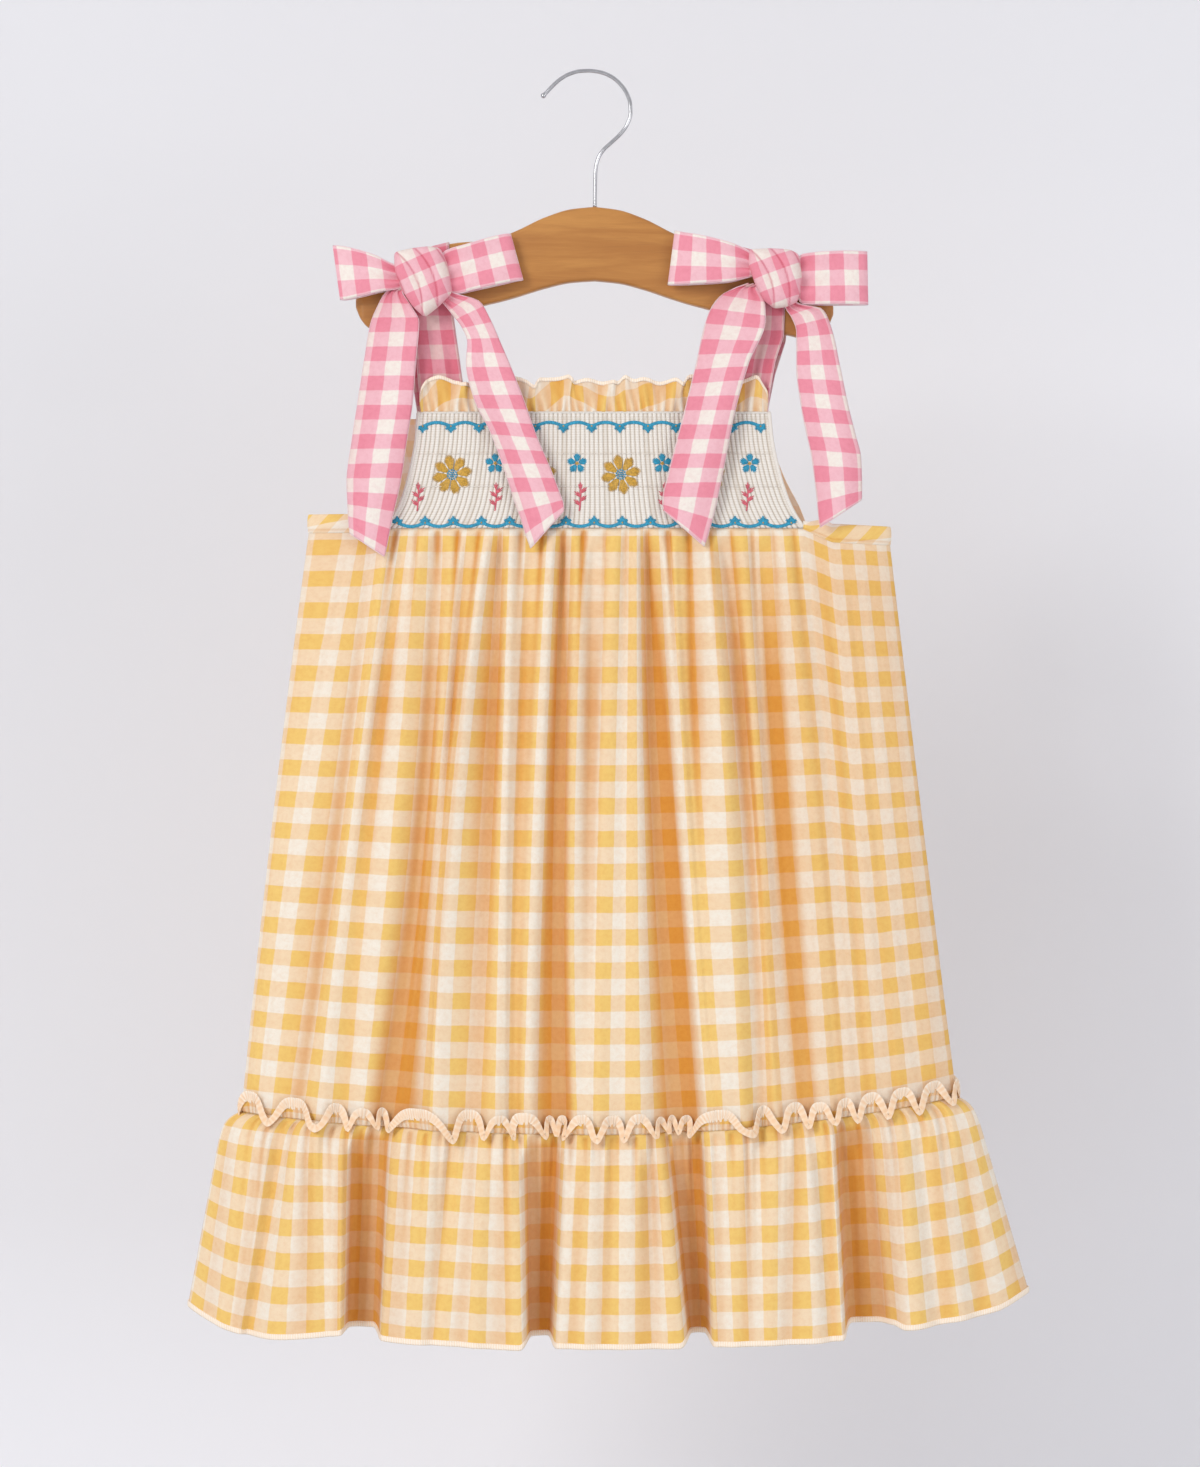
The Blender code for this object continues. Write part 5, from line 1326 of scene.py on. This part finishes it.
def hanger_wood():
    """The wood: rounded corners round a cross-section that follows the outline to both ends."""
    straight, end = 140, 10.6
    rounded = straight + end * np.sin(np.linspace(0, np.pi / 2, 22))[1:]
    reach = np.concatenate([np.linspace(0, straight, 90), rounded])
    x = np.concatenate([HANGER_CENTRE_X - reach[::-1], HANGER_CENTRE_X + reach[1:]])
    table = np.array(HANGER_OUTLINE)
    distance = np.abs(x - HANGER_CENTRE_X)
    tilt = HANGER_TILT * (x - HANGER_CENTRE_X)
    top, low = (edge + tilt for edge in columns_at(table, distance, 1, 2))
    seat_reach = 17
    seats = [np.abs(x - np.mean(xs)) < seat_reach for xs in (STRAP_LEFT_X, STRAP_RIGHT_X)]
    straight_top = np.interp(distance, table[:, 0], table[:, 1]) + tilt
    top = np.where(seats[0] | seats[1], np.minimum(top, straight_top), top)
    half = np.interp(distance, (146, 147.5, 149.5, 150.6), (HANGER_HALF_THICKNESS, 5.4, 4.2, 3.0))
    cut = np.minimum(np.minimum(HANGER_CORNER, (top - low) / 2.5), half * 0.8)
    points = []
    for side, up, start in ((-1, 1, np.pi / 2), (1, 1, 0.0), (1, -1, -np.pi / 2), (-1, -1, np.pi)):
        centre_z = (top - cut) if up > 0 else (low + cut)
        for angle in start + np.linspace(0, np.pi / 2, 6)[::-1]:
            y = side * (half - cut) + cut * math.cos(angle)
            points.append(np.stack([x, y, centre_z + cut * math.sin(angle)], axis=1))
    wrap = len(points)
    points = np.stack(points, axis=1).reshape(-1, 3)
    wood = add_mesh("hanger_wood_form", points, tube_faces(len(x), wrap), 2, WOOD)
    declare(wood, ["hanger_body"])


def hook_wire():
    """The wire along its path, with a small ball at its tip."""
    table = np.array(HOOK_PATH)
    travel = lengths_along(table)
    s = np.linspace(0, travel[-1], 220)
    x, z = (smooth_interp(s, travel, values) for values in table.T)
    line = np.stack([x, np.zeros(len(s)), z], axis=1)
    line[-1, 2] = hanger_edges(line[-1, 0])[0] + 0.1
    across = np.broadcast_to((0.0, 1.0, 0.0), line.shape)
    up = np.cross(unit(np.gradient(line, axis=0)), across)
    radii = np.full(len(s), HOOK_RADIUS)
    tip_radius, tip_middle = 1.75, 1.6
    tip = s < 2 * tip_middle
    ball = tip_radius * np.sqrt(np.clip(1 - ((s[tip] - tip_middle) / tip_radius) ** 2, 0.05, 1))
    radii[tip] = np.maximum(HOOK_RADIUS, ball)
    radii[0] = 0.5
    wrap = 18
    points = tube_points(line, across, up, radii, wrap)
    wire = add_mesh("hook_wire", points, tube_faces(len(line), wrap), 2, CHROME)
    declare(wire, ["hanger_hook"])


hanger_wood()
hook_wire()


# Embroidery over the smocking


STITCH_LIFT = 0.72
STRAND_WIDTH = 0.62


class Stitches:
    """Many small raised stitches gathered into one piece."""

    def __init__(self, name, material):
        self.name = name
        self.material = material
        self.points = []
        self.faces = []

    def add(self, x0, z0, x1, z1, width=0.55, height=0.45, lift=0.0):
        """One stitch between two points: five arched cross-sections, slim at both ends."""
        a = np.array([x0, 0.0, z0])
        run = np.array([x1, 0.0, z1]) - a
        length = np.linalg.norm(run)
        if length < 1e-6:
            return
        run /= length
        side = np.array([-run[2], 0.0, run[0]])
        start = len(self.points)
        for share, size in ((0.0, 0.35), (0.22, 0.9), (0.5, 1.0), (0.78, 0.9), (1.0, 0.35)):
            centre = a + run * length * share
            base = -(float(body_y(centre[0], centre[2])) + RIB_HEIGHT * STITCH_LIFT + lift)
            for angle in (0.0, 1.05, 2.09, 3.14):
                point = centre + side * math.cos(angle) * width * size
                y = base - math.sin(angle) * height * size - 0.25 * size
                self.points.append((point[0], y, point[2]))
        for ring in range(4):
            for k in range(3):
                p = start + ring * 4 + k
                self.faces.append((p, p + 4, p + 5, p + 1))

    def build(self):
        declare(add_mesh(self.name, self.points, self.faces, 0, self.material), [])


teal = Stitches("teal_stitches", TEAL)
gold = Stitches("gold_stitches", GOLD)
coral = Stitches("coral_stitches", CORAL)
cream = Stitches("cream_cables", CREAM)


def stem_line(layer, xs, zs, step=1.5, width=0.5):
    """Slanted stitches one after another along a line."""
    travel = lengths_along(np.stack([xs, zs], axis=1))
    for a in np.arange(0, travel[-1] - step, step * 0.72):
        ends = (a, a + step * 1.35)
        (x0, x1), (z0, z1) = (np.interp(ends, travel, values) for values in (xs, zs))
        run = math.hypot(x1 - x0, z1 - z0) or 1.0
        nx, nz = -(z1 - z0) / run * 0.28, (x1 - x0) / run * 0.28
        layer.add(x0 + nx, z0 + nz, x1 - nx, z1 - nz, width)


def satin_petal(layer, x, z, angle, length, width):
    """A petal or leaf of side by side stitches from its base outwards."""
    strands = max(3, int(width / STRAND_WIDTH))
    across_x, across_z = math.cos(angle + math.pi / 2), math.sin(angle + math.pi / 2)
    for k in range(strands):
        side = (k / (strands - 1) - 0.5) * 2
        reach = length * (1 - 0.28 * side * side)
        spread = side * width * 0.5
        layer.add(x + across_x * spread * 0.25, z + across_z * spread * 0.25,
                  x + math.cos(angle) * reach + across_x * spread,
                  z + math.sin(angle) * reach + across_z * spread,
                  width=0.42, height=0.5 - 0.12 * abs(side))


def petal_ring(layer, x, z, petals, first_angle, inner, length, width):
    """Petals all round a point, each starting a little way out."""
    for k in range(petals):
        angle = 2 * math.pi * k / petals + first_angle
        foot_x, foot_z = x + math.cos(angle) * inner, z + math.sin(angle) * inner
        satin_petal(layer, foot_x, foot_z, angle, length, width)


def daisy(x, z, radius):
    petal_ring(gold, x, z, petals=8, first_angle=0.2, inner=radius * 0.26, length=radius * 0.72,
               width=radius * 0.46)
    for ring, count in ((0.0, 1), (0.11, 6), (0.22, 11)):
        for k in range(count):
            angle = 2 * math.pi * k / count
            cx = x + math.cos(angle) * radius * ring
            cz = z + math.sin(angle) * radius * ring
            teal.add(cx - 0.5, cz - 0.2, cx + 0.5, cz + 0.2, height=0.7, lift=0.35)


def small_bloom(x, z, radius):
    petal_ring(teal, x, z, petals=5, first_angle=math.pi / 2, inner=radius * 0.2,
               length=radius * 0.8, width=radius * 0.62)
    for k in range(4):
        angle = 2 * math.pi * k / 4
        cx, cz = x + math.cos(angle) * 0.5, z + math.sin(angle) * 0.5
        gold.add(cx - 0.5, cz, cx + 0.5, cz, width=0.5, height=0.7, lift=0.35)


def sprig(x, z, height):
    share = np.linspace(0, 1, 12)
    stem_line(coral, x + 0.8 * np.sin(share * 2.2), z + height * share, step=1.3, width=0.45)
    for level, side in ((0.25, -1), (0.42, 1), (0.6, -1), (0.76, 1)):
        satin_petal(coral, x + 0.8 * math.sin(level * 2.2), z + height * level,
                    math.pi / 2 - side * 0.85, length=height * 0.36, width=height * 0.14)
    satin_petal(coral, x + 0.6, z + height * 0.92, math.pi / 2, length=height * 0.3,
                width=height * 0.15)


def leaf_border(z, period, inset, up):
    """A row of shallow arcs with three small leaves where they meet."""
    left, right = (float(x) for x in columns_at(FRONT_BODICE_ROWS[::-1], z, 1, 2))
    xs = np.linspace(left + inset, right - inset, 700)
    zs = z + 2.6 * up * np.abs(np.sin((xs - xs[0]) * math.pi / period))
    stem_line(teal, xs, zs, step=1.9, width=1.05)
    x = xs[0]
    z += 0.2 * up
    while x < xs[-1] + 1:
        for angle in (-0.5, 0.0, 0.5):
            satin_petal(teal, x, z, -up * math.pi / 2 + angle * 2.1, length=4.6 - abs(angle),
                        width=2.5)
        gold.add(x - 0.5, z, x + 0.5, z, height=0.8, lift=0.4)
        x += period


leaf_border(-224.2, period=17.7, inset=3.0, up=1)
leaf_border(-284.6, period=17.7, inset=4.5, up=-1)
for cable_z in CABLE_ROWS[1:3]:
    left, right = (float(x) for x in columns_at(FRONT_BODICE_ROWS[::-1], cable_z, 1, 2))
    for k, x in enumerate(np.arange(left + 2, right - 3, 3.0)):
        flip = 0.2 * (-1) ** k
        cream.add(x, cable_z - flip, x + 2.6, cable_z + flip, width=0.22, height=0.25)
for centre_x in (-86.0, -33.0, 20.0, 73.0):
    daisy(centre_x, z=-254.5, radius=13.0)
for centre_x in (-59.0, -7.5, 46.0, 101.0):
    small_bloom(centre_x, z=-247.5, radius=6.6)
for centre_x in (-108.0, -59.0, -6.0, 47.0, 99.0):
    sprig(centre_x, z=-277.5, height=15.0)
for layer in (teal, gold, coral, cream):
    layer.build()


# Camera, light and backdrop

CAMERA_PLACE = (0.0069, -3.0, -0.4172)
FRAME_HEIGHT = 0.917
FRAME_Y = -0.03
SENSOR_WIDTH = 36.0
camera_data = bpy.data.cameras.new("camera")
camera_data.sensor_width = SENSOR_WIDTH
camera_data.lens = SENSOR_WIDTH * (FRAME_Y - CAMERA_PLACE[1]) / FRAME_HEIGHT
camera = link(bpy.data.objects.new("camera", camera_data))
camera.location = CAMERA_PLACE
camera.rotation_euler = (math.radians(90), 0.0, 0.0)
bpy.context.scene.camera = camera


def plane(name, corners, material):
    mesh = bpy.data.meshes.new(name)
    mesh.from_pydata(corners, [], [(0, 1, 2, 3)])
    mesh.materials.append(material)
    link(bpy.data.objects.new(name, mesh))


HALF_WIDTH, NEAR_Y, WALL_Y, FLOOR_Z, WALL_TOP_Z = 4, -5, 0.42, -1.1, 3
foot = [(-HALF_WIDTH, WALL_Y, FLOOR_Z), (HALF_WIDTH, WALL_Y, FLOOR_Z)]
plane("backdrop", [*foot, (HALF_WIDTH, WALL_Y, WALL_TOP_Z), (-HALF_WIDTH, WALL_Y, WALL_TOP_Z)],
      backdrop_material("wall_look", (0.948, 0.950, 0.966), wall=True))
plane("floor", [(-HALF_WIDTH, NEAR_Y, FLOOR_Z), (HALF_WIDTH, NEAR_Y, FLOOR_Z), *foot[::-1]],
      backdrop_material("floor_look", (0.89, 0.89, 0.90), wall=False))


def area_light(name, location, target, size, power, color):
    data = bpy.data.lights.new(name, "AREA")
    data.shape = "DISK"
    data.size = size
    data.energy = power
    data.color = color
    light = link(bpy.data.objects.new(name, data))
    light.location = location
    direction = np.array(target) - np.array(location)
    light.rotation_euler = (math.acos(-direction[2] / np.linalg.norm(direction)), 0.0,
                            math.atan2(direction[1], direction[0]) - math.pi / 2)


area_light("key", location=(-2.7, -3.6, 1.3), target=(0.0, 0.0, -0.45), size=1.9, power=84.0,
           color=(1.0, 0.985, 0.97))
area_light("fill", location=(2.8, -3.2, -0.9), target=(0.1, 0.0, -0.7), size=2.6, power=43.0,
           color=(0.98, 0.98, 1.0))
world = bpy.data.worlds.new("studio")
bpy.context.scene.world = world
world.use_nodes = True
world.node_tree.nodes["Background"].inputs["Color"].default_value = (0.95, 0.95, 0.97, 1.0)
world.node_tree.nodes["Background"].inputs["Strength"].default_value = 0.72
bpy.context.scene.view_settings.view_transform = "Standard"
